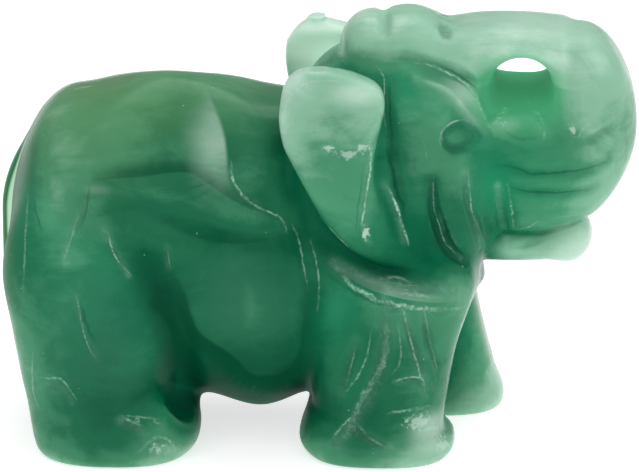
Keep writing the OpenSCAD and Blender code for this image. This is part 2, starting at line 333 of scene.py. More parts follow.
UNDER = LOOP_LOW - 2.38
lip_body = barrel(
    [[CHEST_X - 4, UNDER + 0.2, UNDER + 2.6, 3.5], [CHEST_X + 1, UNDER, UNDER + 2.8, 3.5],
     [CHEST_X + 4.5, UNDER + 0.1, UNDER + 3, 3.5], [LIP_X, UNDER + 0.1, UNDER + 3.4, 3.5]],
    [UNDER + 1.4, UNDER + 2], [1, 1.8], 2.3)
lip = joined([lip_body, ball([LIP_X - 1.9, 0, UNDER + 1.95], [1.95, 3.6, 1.9])], 0.6)

EAR_TOP, EAR_FOOT, EAR_THICK = 31.5, 15.3, 3.4
EAR_ROWS = [   # height, back edge, front edge, distance of the outer face from the middle
    [EAR_FOOT, 7.0, 8.6, 8.1], [16.2, 4.2, 8.6, 8.7], [17.4, 2.5, 7.7, 9.2], [19.2, 1.0, 6.3, 9.6],
    [21.2, -0.1, 5.4, 9.95], [23.0, -1.0, 4.9, 10.15], [24.8, -1.9, 4.8, 10.25],
    [25.8, -2.3, 4.9, 10.35], [27.6, -2.6, 5.3, 10.35], [29.2, -2.5, 5.5, 10.0],
    [30.3, -2.2, 4.9, 9.5], [31.0, -1.6, 3.2, 9.0], [EAR_TOP, -0.5, 1.1, 8.7]]


def ear(side):
    """An ear flap; side is -1 for the right one and 1 for the left one."""
    def f(x, y, z):
        pz = z[0, 0, :]
        back, front, out = rows_at(EAR_ROWS, pz)
        if side > 0:            # the left ear stands a little further back and slopes down in front
            rise = np.clip((pz - 29.2) / 1.8, 0, 1)
            back = back - 0.35 + 0.6 * rise - 1.3 * np.clip(pz - 31, 0, 0.5)
            front = np.maximum(front - 0.35 - 1.9 * rise, back + 1.3)
        half = np.maximum((front - back) / 2, 0.15)
        thick = EAR_THICK / 2 * (1 - 0.55 * np.exp(-(half / 1.9) ** 2))
        rho = squarish((x - along_z((back + front) / 2)) / along_z(half),
                       (y - side * along_z(out - thick)) / along_z(thick), 3.2)
        flat = (rho - 1) * along_z(np.minimum(half, thick))
        return np.maximum(flat, along_z(np.maximum(pz - EAR_TOP, EAR_FOOT - pz)))

    near_y, far_y = sorted([side * 5.0, side * 11.5])
    return f, (np.array([-4.5, near_y, EAR_FOOT - 1]), np.array([7.5, far_y, EAR_TOP + 1]))


FRONT_FOOT = [   # height as a share of FOOT, how far the heel stands out, share of the half width
    [0, 0.4, 1], [0.3, 1.0, 1], [0.5, 0.88, 0.99], [0.66, 0.64, 0.97], [0.8, 0.4, 0.95], [1, 0, 0.925]]
FRONT_TOES = {-1: [0.595, 0.77, 0, -0.105, 0, 0.105], 1: [1.235, 0.78, 0.39, 0.13, 0, -0.26]}


def front_leg(side):
    """A front leg; the left one stands a step further forward and has longer toes."""
    y, long, height = side * 6.1, 10.4, 20.08
    step, slim = (3.6, 0.4) if side > 0 else (0.0, 0.0)
    back = CHEST_X - 1.36 * long
    front = back + long
    foot = [[up * FOOT, back + step - heel, front + step + toe, y, wide * LEG_HALF]
            for (up, heel, wide), toe in zip(FRONT_FOOT, FRONT_TOES[side])]
    shin = [0.45 * height, back + 0.5 * step - 0.01 * long, front + 0.5 * step + 0.087 * long - slim,
            y, 0.925 * LEG_HALF]
    thigh = [[0.65 * height, back - 0.02 * long, front + 0.21 * long, y - side * 0.5, 0.87 * LEG_HALF],
             [0.8 * height, back, front + 0.25 * long, y - side * 1.2, 0.77 * LEG_HALF],
             [height, back + 0.02 * long, front + 0.29 * long, y - side * 2.2, 0.7 * LEG_HALF]]
    return column(foot + [shin] + thigh, 0.32 * FOOT, 0.35 * height, 2.7, GAP / 2)


def hind_leg(side):
    """A hind leg; the toes of the left one are a little further back."""
    y, step, long, height, toe = side * 6.7, -1.2 if side > 0 else 0.0, 11.0, 23.98, 1.2
    back = RUMP_X + 2.2
    front = back + long
    return column(
        [[0, back + 0.3, front + step + toe, y, LEG_HALF],
         [0.32 * FOOT, back - 0.1, front + step + 2.0, y, LEG_HALF],
         [0.77 * FOOT, back - 0.4, front + step + 1.9, y, 0.98 * LEG_HALF],
         [1.05 * FOOT, back - 0.6, front + 0.9 * step + 0.9, y, 0.96 * LEG_HALF],
         [1.36 * FOOT, back - 0.9, front + 0.8 * step - 0.6, y, 0.925 * LEG_HALF],
         [0.42 * height, back - 1.6, front - 0.7, y, 0.96 * LEG_HALF],
         [0.625 * height, back - 2.3, front - 1.4, y - side * 0.2, LEG_HALF],
         [height, back - 1.2, front - 2.2, y - side * 1.2, 0.89 * LEG_HALF]],
        0.25 * FOOT, 0.375 * height, 2.5, GAP / 2)


def tail_form():
    """The tail: a round ridge that lies on the rump, so it bends with it, and runs out above
    and below."""
    top, low, depth, half = BACK - 1.0, 7.0, 1.4, 1.4

    def f(x, y, z):
        pz = z[0, 0, :]
        up, down = np.maximum(pz - 17.5, 0), np.maximum(13 - pz, 0)
        middle = TAIL_X + depth + 0.055 * up ** 2 + 0.02 * down ** 2
        e = np.clip(np.maximum(1 - (top - pz) / 2, 1 - (pz - low) / 2), 0, None)
        rho = np.sqrt(((x - along_z(middle)) / depth) ** 2 + (y / half) ** 2 + along_z(e) ** 2)
        return (rho - 1) * depth

    return f, (np.array([TAIL_X - 1, -3, low - MARGIN]), np.array([TAIL_X + 9, 3, top + MARGIN]))


# ------------------------ burr cuts
def value_at(cells):
    """The field at the grid points nearest to points given in cells."""
    p = np.clip(np.round(cells).astype(int), 0, np.array(SHAPE) - 1)
    return field[tuple(p.T)]


def gradient_at(cells):
    """Outward direction of the stone at points given in cells."""
    p = np.clip(np.round(cells).astype(int), 2, np.array(SHAPE) - 3)
    g = np.stack([field[tuple((p + 2 * e).T)] - field[tuple((p - 2 * e).T)]
                  for e in np.eye(3, dtype=int)], 1)
    return g / np.maximum(np.linalg.norm(g, axis=1, keepdims=True), 1e-6)


def on_side(path, side):
    """Points of a path brought to one side of the stone. A point [x, z] is dropped onto it."""
    out = []
    for point in path:
        if len(point) == 3:
            out.append([point[0], -side * point[1], point[2]])
            continue
        x, z = point
        i, k = int(round((x - GX[0]) / PITCH)), int(round((z - GZ[0]) / PITCH))
        js = np.nonzero(field[i, :, k] < 0)[0]
        if len(js):
            out.append([x, GY[js[0] if side < 0 else js[-1]], z])
    return np.array(out, float)


def even(line, reach):
    """A path without the small unevenness of the grid, evened over about that many millimetres."""
    for _ in range(int(2 + 4 * reach)):
        line = np.concatenate([line[:1], (line[:-2] + 2 * line[1:-1] + line[2:]) / 4, line[-1:]])
    return line


def spaced(path, step):
    """A smooth curve through the points of a path, as points about that far apart, and how far
    along it each of them lies."""
    p = np.array(path, float)
    along = np.concatenate([[0], np.cumsum(np.linalg.norm(np.diff(p, axis=0), axis=1))])
    fine = np.linspace(0, along[-1], max(3, int(along[-1] / step) + 1))
    return np.stack(rows_at(np.column_stack([along, p]), fine), 1), fine


def squared_distance(x, y, z, chain):
    """Squared distance from each point of a block to a chain of points joined by straight lines."""
    out = np.full(np.broadcast_shapes(x.shape, y.shape, z.shape), 1e9, np.float32)
    for a, b in zip(chain[:-1], chain[1:]):
        v = b - a
        t = ((x - a[0]) * v[0] + (y - a[1]) * v[1] + (z - a[2]) * v[2]) / max(v @ v, 1e-9)
        t = np.clip(t, 0, 1)
        q = (x - a[0] - t * v[0]) ** 2 + (y - a[1] - t * v[1]) ** 2 + (z - a[2] - t * v[2]) ** 2
        np.minimum(out, q, out=out)
    return out


def stroke(path, side, radius, depth, soft=0.15, frosty=0.0, shade=0.0, taper=0.5):
    """A cut of a round burr along a path on one side: its section is a circle of that radius,
    and it runs out at both ends. A negative depth raises a ridge instead."""
    p = on_side(path, side)
    if len(p) < 2:
        return
    if side > 0:       # the two sides were cut by hand, so they differ a little
        p += 0.22 * np.sin(1.7 * p[:, [2, 0, 0]] + [0.4, 1.1, 2.0]) * [1, 0, 1]
    line, along = spaced(p, 0.5)
    for _ in range(2):
        cells = (line - GRID0) / PITCH
        n = gradient_at(cells)
        line = even(line - n * value_at(cells)[:, None], radius)
    n = even(n, 2 * radius)
    n /= np.linalg.norm(n, axis=1, keepdims=True)
    share = np.sin(np.pi * np.clip(along / along[-1], 0.02, 0.98)) ** taper
    lift = (radius - depth * share) if depth > 0 else (-radius - depth * share)
    axis_line = line + n * lift[:, None]
    reach = radius + 1.2
    s = block(axis_line.min(0) - reach, axis_line.max(0) + reach)
    x, y, z = coords(s)
    tube = np.sqrt(squared_distance(x, y, z, axis_line)) - radius
    to_line = squared_distance(x, y, z, line)
    field[s] = smax(field[s], -tube, soft) if depth > 0 else smin(field[s], tube, soft)
    half = math.sqrt(max(radius ** 2 - (radius - abs(depth)) ** 2, 0.04))
    if frosty:
        frost[s] = np.maximum(frost[s], frosty * np.exp(-to_line / (half * 0.7) ** 2))
    # painted shade along the groove
    if shade:
        dark[s] = np.maximum(dark[s], shade * np.exp(-to_line / (half * 1.2) ** 2))


def strokes(cuts):
    """Makes each of these cuts on both sides."""
    for side in (-1, 1):
        for path, *burr in cuts:
            stroke(path, side, *burr)


def ring(x, z, wide, tall, turns=16):
    """A path round a place on the flank."""
    angles = [2 * math.pi * k / turns for k in range(turns + 1)]
    return [(x + wide * math.cos(a), z + tall * math.sin(a)) for a in angles]


# Each cut: its path in [x, z] on the flank or [x, y, z], the burr's radius, its depth (a ridge
# where it is negative), the softness of its rim, its frosting and its shade
BODY_CUTS = [
    ([(-11, 27.8), (-10.6, 26), (-9.8, 24)], 7, 0.35, 3),
    ([(-17.4, 21.8), (-15.8, 22.9), (-13.2, 23.2), (-10.2, 23.2), (-7.2, 22), (-4.4, 20.7)],
     2.4, 0.2, 0.5, 0, 0.15),
    ([(-6.8, 26.4), (-6.3, 24.6), (-5.6, 23.2), (-4.4, 21.8), (-2.8, 20.4)], 2.6, 0.35, 0.5, 0, 0.1),
    ([(-15, 21.2), (-12, 20.8), (-10, 19.9), (-7.4, 19), (-4.8, 18.6), (-1.8, 18.2)],
     2.4, 0.25, 0.6, 0, 0.3),
    ([(-12.6, 17), (-11.8, 15), (-10.9, 13), (-10.3, 9.9), (-10.1, 5.8)], 1.7, 0.8, 0.6, 0, 0.3),
    ([(0.8, 17), (0.3, 14), (-0.1, 11)], 1.5, 0.45, 0.6, 0, 0.1),
    ([(-4.6, 28.6), (-4.4, 26), (-3.4, 23.2), (-1.6, 20.3), (0.2, 17.8), (2.4, 16), (5.5, 15)],
     3, 0.6, 0.5),
    ([(-2.6, 28.4), (-2.6, 26), (-1.9, 23.6), (-0.6, 21), (0.9, 18.6), (3, 16.7), (6, 15.4), (8.5, 14.9)],
     1.8, 0.8, 0.5, 0, 0.1)]
HEAD_CUTS = [
    ([(7.5, 6.2, 30.4), (9.8, 6.6, 30), (11.4, 6.8, 29.1), (12.4, 6.8, 27.9), (13.2, 6.7, 26.8)],
     0.6, -0.25, 0.4, 0.25),
    ([(1.5, 5.2, 31), (4, 5.5, 31.1), (6.5, 5.6, 31.3), (9, 5.8, 31.3)], 1.8, 0.28, 0.6, 0, 0.05),
    ([(7, 5.6, 31.5), (9, 5.8, 31.3), (11, 6.2, 30.6), (12.4, 6.4, 29.2), (13.6, 6.6, 27.6)],
     1.1, 0.6, 0.2, 0, 0.1),
    ([(1, 19.2), (2.8, 17.2), (4.6, 16), (7, 15.2), (9.9, 14.8)], 0.7, 0.35, 0.2, 0, 0.2),
    ([(13.9, 24.4), (14.2, 22), (14.6, 19.8), (14.9, 18)], 1.3, 0.3, 0.5, 0, 0.2),
    ([(14.2, 6.6, 23.5), (15.6, 6.3, 23.3), (16.7, 6.2, 22.8), (18, 6.2, 22.8), (20.4, 6, 23.1),
     (22.6, 5, 23.7)], 0.7, 0.2, 0.25, 0, 0.15),
    ([(15.3, 6.2, 21.7), (16.6, 6.1, 21.3), (18.5, 6.1, 21.2), (20.2, 6, 21.3), (21.8, 5.3, 21.5)],
     0.7, 0.2, 0.25, 0, 0.15),
    ([(20.1, 25.6), (20.3, 26.5), (20.8, 26.8)], 0.6, 0.2, 0.2, 0.3),
    ([(20.8, 5.9, 25.3), (22.1, 5.3, 25.9), (23.1, 4.5, 26.8)], 0.6, 0.2, 0.2, 0.3),
    ([(5, 0.3, 34), (5.1, 2, 33.7), (5.3, 3.3, 33.2)], 0.6, 0.2, 0.25, 0.4),
    ([(9.7, 1, 33.6), (9.9, 2.4, 33), (10.3, 3.6, 32.5)], 0.5, 0.3, 0.15, 0.5),
    ([(15.2, 3.4, 16), (16.6, 3.3, 16.3), (18.2, 3.4, 16.9), (20, 3.4, 17.8)], 0.4, 0.3, 0.1, 0.3)]
FACE_CUTS = [
    ([(5.6, 29.3), (5.9, 27.5), (6.1, 25.8), (6.3, 24), (6.7, 22), (7, 20.4)], 0.6, 0.3, 0.15, 0.1, 0.15),
    ([(5.5, 22.8), (6.3, 21), (7, 18.1)], 0.35, -0.2, 0.15, 0.5),
    ([(4.5, 25.4), (4.25, 23.5), (4, 19.7), (4.3, 18.1)], 0.3, 0.2, 0.1, 0.5),
    ([(0.9, 25.8), (2.1, 25.3), (3.3, 25.5), (4.6, 25.9)], 0.5, 0.3, 0.1, 0.8),
    ([(9.2, 22.9), (9.1, 21.2), (9.6, 19.2), (10.5, 16.7), (11.8, 15.9)], 0.4, 0.45, 0.1, 0.2, 0.8),
    ([(9.9, 20.2), (10.7, 17.1), (11.4, 16.1)], 0.3, 0.3, 0.1, 0.5),
    ([(11.6, 23.4), (11.9, 21.3), (12.6, 18.7), (13, 16.5)], 0.5, 0.35, 0.12, 0.6),
    ([(14.2, 21.9), (14.4, 19.8), (14.7, 17), (15.1, 15.9)], 0.4, 0.3, 0.12, 0.7),
    ([(13.7, 26.6), (14.6, 26.9), (15.5, 26.7), (16.3, 26.9), (17.2, 26.9), (17.8, 26.1)],
     0.7, -0.45, 0.3, 0.5),
    ([(7.6, 25), (7.8, 23.5)], 0.35, 0.15, 0.1, 0.5)]
LEG_CUTS = [
    ([(-16, 19.3), (-15.1, 17.7), (-14.1, 15.8)], 0.3, 0.15, 0.1, 0.6),
    ([(-11.1, 18.1), (-11, 16.3)], 0.3, 0.12, 0.1, 0.5),
    ([(-18.2, 14.2), (-17.7, 11.5), (-16.6, 9)], 0.45, 0.2, 0.15, 0.2),
    ([(-17.2, 21.3), (-18, 19.8), (-19.2, 17.7), (-18.9, 16.8)], 0.4, 0.2, 0.15, 0.5),
    ([(-21.2, 6.3), (-19.3, 6.8), (-18.6, 5.4)], 0.35, 0.15, 0.1, 0.4),
    ([(-14.9, 4.1), (-14.1, 3.6), (-13.3, 3.3)], 0.4, 0.25, 0.1, 0.8),
    ([(3.5, 10.6), (2.8, 8.5), (2.2, 6.2)], 0.6, 0.3, 0.15, 0.3),
    ([(5.8, 13.8), (5.7, 11.5), (5.5, 9.1), (4.5, 6), (3, 3.3), (2, 2.2)], 0.9, 0.3, 0.15, 0.5),
    ([(7, 13.1), (7.6, 10.9), (8.6, 7.6)], 0.4, 0.25, 0.1, 0.6),
    ([(8.6, 12.5), (9.1, 10.2), (9.7, 7.9)], 0.45, 0.25, 0.1, 0.3),
    ([(6.6, 7.3), (8.4, 7.6), (8.8, 5.8)], 0.35, 0.2, 0.1, 0.6),
    ([(3, 3.3), (4.6, 2.6), (6.1, 1.8)], 0.5, 0.25, 0.1, 0.6),
    ([(1.6, 16.1), (2.9, 15.3), (4.2, 14.8), (6.8, 14.5), (9.1, 14.4), (11.6, 13.8)],
     0.7, 0.35, 0.15, 0.7)]
EYE, EYE_WIDE, EYE_TALL = (11.1, 26.0), 1.35, 1.06


# ------------------------ the carving, in the order it was cut
add_part("torso", torso, 0.1)
add_part("leg_front_right", front_leg(-1), 1.2)
add_part("leg_front_left", front_leg(1), 1.2)
add_part("leg_hind_right", hind_leg(-1), 1.4)
add_part("leg_hind_left", hind_leg(1), 1.4)
strokes(BODY_CUTS)
add_part("head", head, 0.6)
add_part("trunk", whole_trunk, 0.8)
add_part("lower_lip", lip, 0.3)
hole_low = np.array([HOLE[0] - HOLE[2] - 3, -9, HOLE[1] - HOLE[3] - 5])
hole_high = np.array([HOLE[0] + HOLE[2] + 2, 9, HOLE[1] + HOLE[3] + 2])
cut((tunnel, (hole_low, hole_high)), 1.3)
strokes(HEAD_CUTS)
add_part("ear_right", ear(-1), 0.25)
add_part("ear_left", ear(1), 0.25)
add_part("tail", tail_form(), 0.4)
strokes(FACE_CUTS + LEG_CUTS)
for side in (-1, 1):
    stroke(ring(*EYE, EYE_WIDE, EYE_TALL), side, 0.4, 0.3, 0.12, 0.2, 0.3, 0.05)
field[:] = smax(field, -along_z(GZ), 0.25)       # the soles


# ------------------------ which part holds each point
def joined_to(mask, reached):
    """The part of a mask that hangs together with the points reached so far."""
    while True:
        before = int(reached.sum())
        for axis in range(3):
            shape = [-1 if k == axis else 1 for k in range(3)]
            steps = np.arange(mask.shape[axis], dtype=np.int16).reshape(shape)
            for way in (slice(None), slice(None, None, -1)):
                turn = tuple(way if k == axis else slice(None) for k in range(3))
                m, r = mask[turn], reached[turn]
                wall = np.maximum.accumulate(np.where(m, np.int16(-1), steps), axis=axis)
                seen = np.maximum.accumulate(np.where(r, steps, np.int16(-2)), axis=axis)
                reached = (r | (m & (seen > wall)))[turn]
        if int(reached.sum()) == before:
            return reached


inside = field < 0
owner[inside & (owner < 0)] = 0
label = np.where(inside, owner + 1, 0).astype(np.int8)      # 0 outside, else the part's number + 1
STRAY = -1
CRUMB_ROUNDS = 12
stray = 0
for number in range(len(PARTS)):        # crumbs of a part that lie apart from it go to a neighbour
    mask = label == number + 1
    at = np.argwhere(mask)
    s = tuple(slice(first, last) for first, last in zip(at.min(0), at.max(0) + 1))
    seed = at[np.argmin(((at - at.mean(0)) ** 2).sum(1))] - at.min(0)
    reached = np.zeros(mask[s].shape, bool)
    reached[tuple(seed)] = True
    lost = mask[s] & ~joined_to(mask[s], reached)
    stray += int(lost.sum())
    label[s][lost] = STRAY
for _ in range(CRUMB_ROUNDS):
    for axis in range(3):
        for shift in (1, -1):
            beside = np.roll(label, shift, axis)
            label[:] = np.where((label == STRAY) & (beside > 0), beside, label)
label[label == STRAY] = 1
print("STRAY", stray)


# ------------------------ from field to border points
CELLS = (SHAPE[0] - 1) * (SHAPE[1] - 1) * (SHAPE[2] - 1)
AROUND = ((-1, -1), (0, -1), (0, 0), (-1, 0))        # the four cells round an edge of the grid


def cell_number(i, j, k):
    """The number of a cell of the grid."""
    return (i * (SHAPE[1] - 1) + j) * (SHAPE[2] - 1) + k


quads, quad_parts, quad_outer = [], [], []
sums = {kind: np.zeros((CELLS, 3), np.float32) for kind in ("outer", "wall")}
counts = {kind: np.zeros(CELLS, np.float32) for kind in ("outer", "wall")}
for axis in range(3):
    lower, upper = [slice(None)] * 3, [slice(None)] * 3
    lower[axis], upper[axis] = slice(0, -1), slice(1, None)
    label_a, label_b = label[tuple(lower)], label[tuple(upper)]
    at = np.argwhere(label_a != label_b)
    keep = np.ones(len(at), bool)
    for other in range(3):
        if other != axis:
            keep &= (at[:, other] > 0) & (at[:, other] < SHAPE[other] - 1)
    at = at[keep]
    part_a, part_b = label_a[tuple(at.T)], label_b[tuple(at.T)]
    value_a, value_b = field[tuple(lower)][tuple(at.T)], field[tuple(upper)][tuple(at.T)]
    outer = (part_a == 0) | (part_b == 0)
    crossing = value_a / np.where(value_a == value_b, 1, value_a - value_b)
    point = at.astype(np.float32)
    point[:, axis] += np.where(outer, crossing, 0.5)
    u, v = (axis + 1) % 3, (axis + 2) % 3
    corner = []
    for du, dv in AROUND:
        cell = at.copy()
        cell[:, u] += du
        cell[:, v] += dv
        corner.append(cell_number(cell[:, 0], cell[:, 1], cell[:, 2]))
    corner = np.stack(corner, 1)
    for kind, chosen in (("outer", outer), ("wall", ~outer)):
        for cells in corner[chosen].T:
            for dim in range(3):
                total = np.bincount(cells, point[chosen, dim], CELLS)
                sums[kind][:, dim] += total.astype(np.float32)
            counts[kind] += np.bincount(cells, minlength=CELLS)
    for part, flip in ((part_a, False), (part_b, True)):
        k = part > 0
        quads.append(corner[k][:, ::-1] if flip else corner[k])
        quad_parts.append(part[k] - 1)
        quad_outer.append(outer[k])
quads = np.concatenate(quads)
quad_parts = np.concatenate(quad_parts)
quad_outer = np.concatenate(quad_outer)
used, quads = np.unique(quads, return_inverse=True)
quads = quads.reshape(-1, 4)
on_surface = counts["outer"][used] > 0
means = [sums[kind][used] / np.maximum(counts[kind][used], 1)[:, None] for kind in ("outer", "wall")]
points = np.where(on_surface[:, None], *means)
del sums, counts


def sample(grid, p):
    """The grid's value at points given in cells."""
    p = np.clip(p, 0, np.array(SHAPE) - 1.001)
    i = p.astype(int)
    f = (p - i).astype(np.float32)
    out = 0
    for dx, dy, dz in np.ndindex(2, 2, 2):
        w = (np.where(dx, f[:, 0], 1 - f[:, 0]) * np.where(dy, f[:, 1], 1 - f[:, 1])
             * np.where(dz, f[:, 2], 1 - f[:, 2]))
        out = out + w * grid[i[:, 0] + dx, i[:, 1] + dy, i[:, 2] + dz]
    return out


def gradient(grid, p, step=0.6):
    """How the grid's value changes along each axis at points given in cells."""
    g = np.stack([sample(grid, p + step * e) - sample(grid, p - step * e) for e in np.eye(3)], 1)
    return g / (2 * step)


def relax(p, faces, moving, share):
    """Moves points towards the middle of their neighbours along the faces' edges."""
    e = np.concatenate([faces[:, [k, (k + 1) % 4]] for k in range(4)])
    n = len(p)
    count = np.bincount(e[:, 0], minlength=n) + np.bincount(e[:, 1], minlength=n)
    out = p.copy()
    for dim in range(3):
        total = np.bincount(e[:, 0], p[e[:, 1], dim], n) + np.bincount(e[:, 1], p[e[:, 0], dim], n)
        mean = total / np.maximum(count, 1)
        out[:, dim] = np.where(moving & (count > 0), p[:, dim] * (1 - share) + mean * share, p[:, dim])
    return out


OUTER_ROUNDS, WALL_ROUNDS, LONGEST_MOVE = 3, 6, 0.5      # the last in cells
outer_faces = quads[quad_outer]
for _ in range(OUTER_ROUNDS):
    points = relax(points, outer_faces, on_surface, 0.5)
    g = gradient(field, points[on_surface])
    d = sample(field, points[on_surface])
    move = -(d / np.maximum((g ** 2).sum(1), 1e-3))[:, None] * g
    size = np.linalg.norm(move, axis=1, keepdims=True)
    points[on_surface] += move * np.minimum(1, LONGEST_MOVE / np.maximum(size, 1e-6))
for _ in range(WALL_ROUNDS):
    points = relax(points, quads[~quad_outer], ~on_surface, 0.5)
normals = gradient(field, points, 0.8)
normals /= np.maximum(np.linalg.norm(normals, axis=1, keepdims=True), 1e-6)
place = (points * PITCH + GRID0)          # design millimetres
print("SCULPT", SHAPE, len(points), len(quads), int(quad_outer.sum()))

# Zones of the stone, each a list of centre, reach and strength, in design millimetres
ZONES = {
    # Pale milky clouds, as on the lip, the trunk's top and the toe, with painted highlights on the ear's
    # top, the cheek ridge and the brow, and painted light on the far ear and the jaw corner
    "milk_and_painted_highlight": [
        ((20.5, 0, 16.2), (4.5, 7, 3.4), 1), ((15.6, -3.5, 15.7), (2.4, 3, 1.6), 0.4),
        ((9.3, -10, 2.8), (2.6, 4.5, 2.4), 0.9), ((0.5, 7, 29.5), (7, 3.5, 7), 1),
        ((19, 0, 36), (11, 12, 5), 0.85), ((11, 0, 34.6), (3, 8, 2.5), 0.7),
        ((11.9, -6.6, 29.2), (1.5, 3, 1.3), 0.5), ((14.9, -6.6, 26.6), (1.7, 3, 1), 0.6),
        ((3.4, -9.5, 30), (3.2, 3, 1.2), 1), ((-16.6, -11, 22.3), (1.6, 3, 0.6), 0.3)],
    "olive": [
        ((-17, 0, 26), (10, 16, 9), 0.9), ((10, 8, 7), (8, 6, 9), 0.9), ((-8, 0, 28), (10, 14, 6), 0.5),
        ((-24, 0, 14), (5, 14, 12), 0.4)],
    "vivid": [
        ((18, 0, 21), (10, 12, 8), 0.75), ((1.5, -9, 12), (4, 6, 4), 0.2),
        ((15.5, 0, 25), (6, 12, 6), 0.7), ((13.8, 0, 21.5), (4, 12, 4), 0.8), ((3, 0, 9), (4, 18, 8), 0.4)],
    # Paler where the stone is thin, as on the trunk's top and the far ear, and painted light that lifts
    # shade on the neck, the bib, the jaw corner, the face and the far leg
    "pale_and_painted_light": [
        ((9, 0, 34.5), (15, 14, 6), 0.6), ((20, 0, 34), (9, 12, 7), 0.15),
        ((26, 0, 26), (8, 14, 10), 0.35), ((19.5, 0, 28), (4, 14, 5), 0.2),
        ((2, 0, 27.5), (6, 22, 7), 0.1), ((0, 7, 29), (7, 4, 7), 1), ((2.5, 0, 20), (4, 22, 5), 0.1),
        ((19.5, 0, 16.5), (5.5, 6, 4), 0.9), ((12, 8, 6), (6, 6, 10), 0.32),
        ((-3.5, -9, 26.5), (2.5, 5, 4), 0.2), ((-2, -9, 23), (5, 5, 7), 0.1),
        ((9, 0, 14.6), (5, 22, 3), 0.2), ((13.4, 0, 17), (3, 14, 3), 0.45),
        ((20, 0, 22), (7, 14, 5), 0.22), ((6.5, 0, 31), (4.5, 14, 2), 0.3)],
    # Darker where the stone is thick, and painted shade on the belly, under the head, on the rump's edge
    # and on the feet
    "thick": [
        ((-21.5, 0, 22.5), (3, 14, 5), 0.25), ((-5, 0, 6), (10, 22, 9), 0.5),
        ((-16, 0, 8), (9, 22, 14), 0.14), ((6, 0, 8), (9, 22, 10), 0.2), ((9, 0, 18), (8, 22, 7), 0.3),
        ((-12, 0, 15), (9, 22, 9), 0.16), ((-17, 0, 2), (12, 22, 7), 0.2),
        ((-9.8, 0, 3.5), (2.5, 22, 3), 0.25), ((2.5, 0, 1.5), (7, 22, 6), 0.36),
        ((-2.6, 0, 15.5), (4.5, 22, 5), 0.22), ((-22.8, 0, 16.5), (6, 22, 8.5), 0.34),
        ((-5, 0, 18), (6, 22, 6), 0.12), ((-14, 0, 22), (7, 20, 5), 0.06)],
    # A painted glow: light through the far ear, the lip, the far leg and the tail, and light that lifts
    # shade in hollows, at the jaw corner and behind the ear
    "glow": [
        ((-1.2, 6, 28), (6, 3, 5), 0.45), ((19, 0, 16.2), (6, 6, 3.5), 0.12),
        ((12.5, 2.5, 8), (6.5, 4.5, 8), 0.4), ((-24.4, 0, 17), (2, 5, 8), 0.3),
        ((-11, -8, 5), (3, 6, 3), 0.6), ((7, -6, 29), (1.8, 4, 3), 0.5),
        ((15, 0, 17), (3.5, 7, 2.6), 0.4), ((15.2, -3.5, 15.8), (2.6, 3, 1.8), 0.35),
        ((19, -6, 20), (7, 6, 6), 0.06), ((-0.5, -10, 22), (4, 5, 7), 0.05)],
    # A painted reflection: a grey film on the belly, the flanks, the front leg and the lip
    "painted_reflection": [
        ((-5.1, -11, 14), (5.5, 6, 6.5), 1), ((-5.1, 11, 14), (5.5, 6, 6.5), 1),
        ((-17, -11, 10), (6.5, 7, 11), 1), ((8, -10, 10), (4, 4, 5), 0.4), ((20.5, 0, 16), (4, 6, 3), 0.5)],
    "chip": [
        ((1.3, -10, 25.9), (1, 3, 0.5), 1), ((2.7, -10, 25.4), (1.1, 3, 0.55), 1),
        ((3.9, -10, 25.9), (1, 3, 0.8), 1), ((8.3, -11, 3.9), (1.8, 3, 1.2), 1),
        ((10.4, -10, 1.8), (1.2, 3, 1.6), 1), ((-11.9, -11, 1.7), (1.4, 3, 0.9), 0.6),
        ((14.6, -7, 26.8), (1.3, 3, 0.6), 0.8), ((4.1, -9.5, 18.9), (0.5, 3, 1), 1),
        ((-13.9, -11, 4.1), (1, 3, 0.4), 0.8), ((19.9, -6, 26.4), (0.7, 3, 0.9), 0.8)]}


# ------------------------ what the surface knows
def blur(grid, sigma):
    """Three running means along each axis, close to a Gaussian of that many millimetres."""
    r = max(1, int(round(sigma / PITCH)))
    for axis in range(3):
        for _ in range(3):
            pad = [(0, 0)] * 3
            pad[axis] = (r + 1, r)
            total = np.cumsum(np.pad(grid, pad, mode="edge"), axis=axis, dtype=np.float32)
            ahead, behind = [slice(None)] * 3, [slice(None)] * 3
            ahead[axis], behind[axis] = slice(2 * r + 1, None), slice(0, -2 * r - 1)
            grid = (total[tuple(ahead)] - total[tuple(behind)]) / (2 * r + 1)
    return grid


def near(centre, radii):
    """1 at a place in the stone, falling smoothly to 0 one radius away along each axis."""
    d = np.sqrt((((place - np.array(centre)) / np.array(radii)) ** 2).sum(1))
    k = np.clip(1 - d, 0, 1)
    return k * k * (3 - 2 * k)


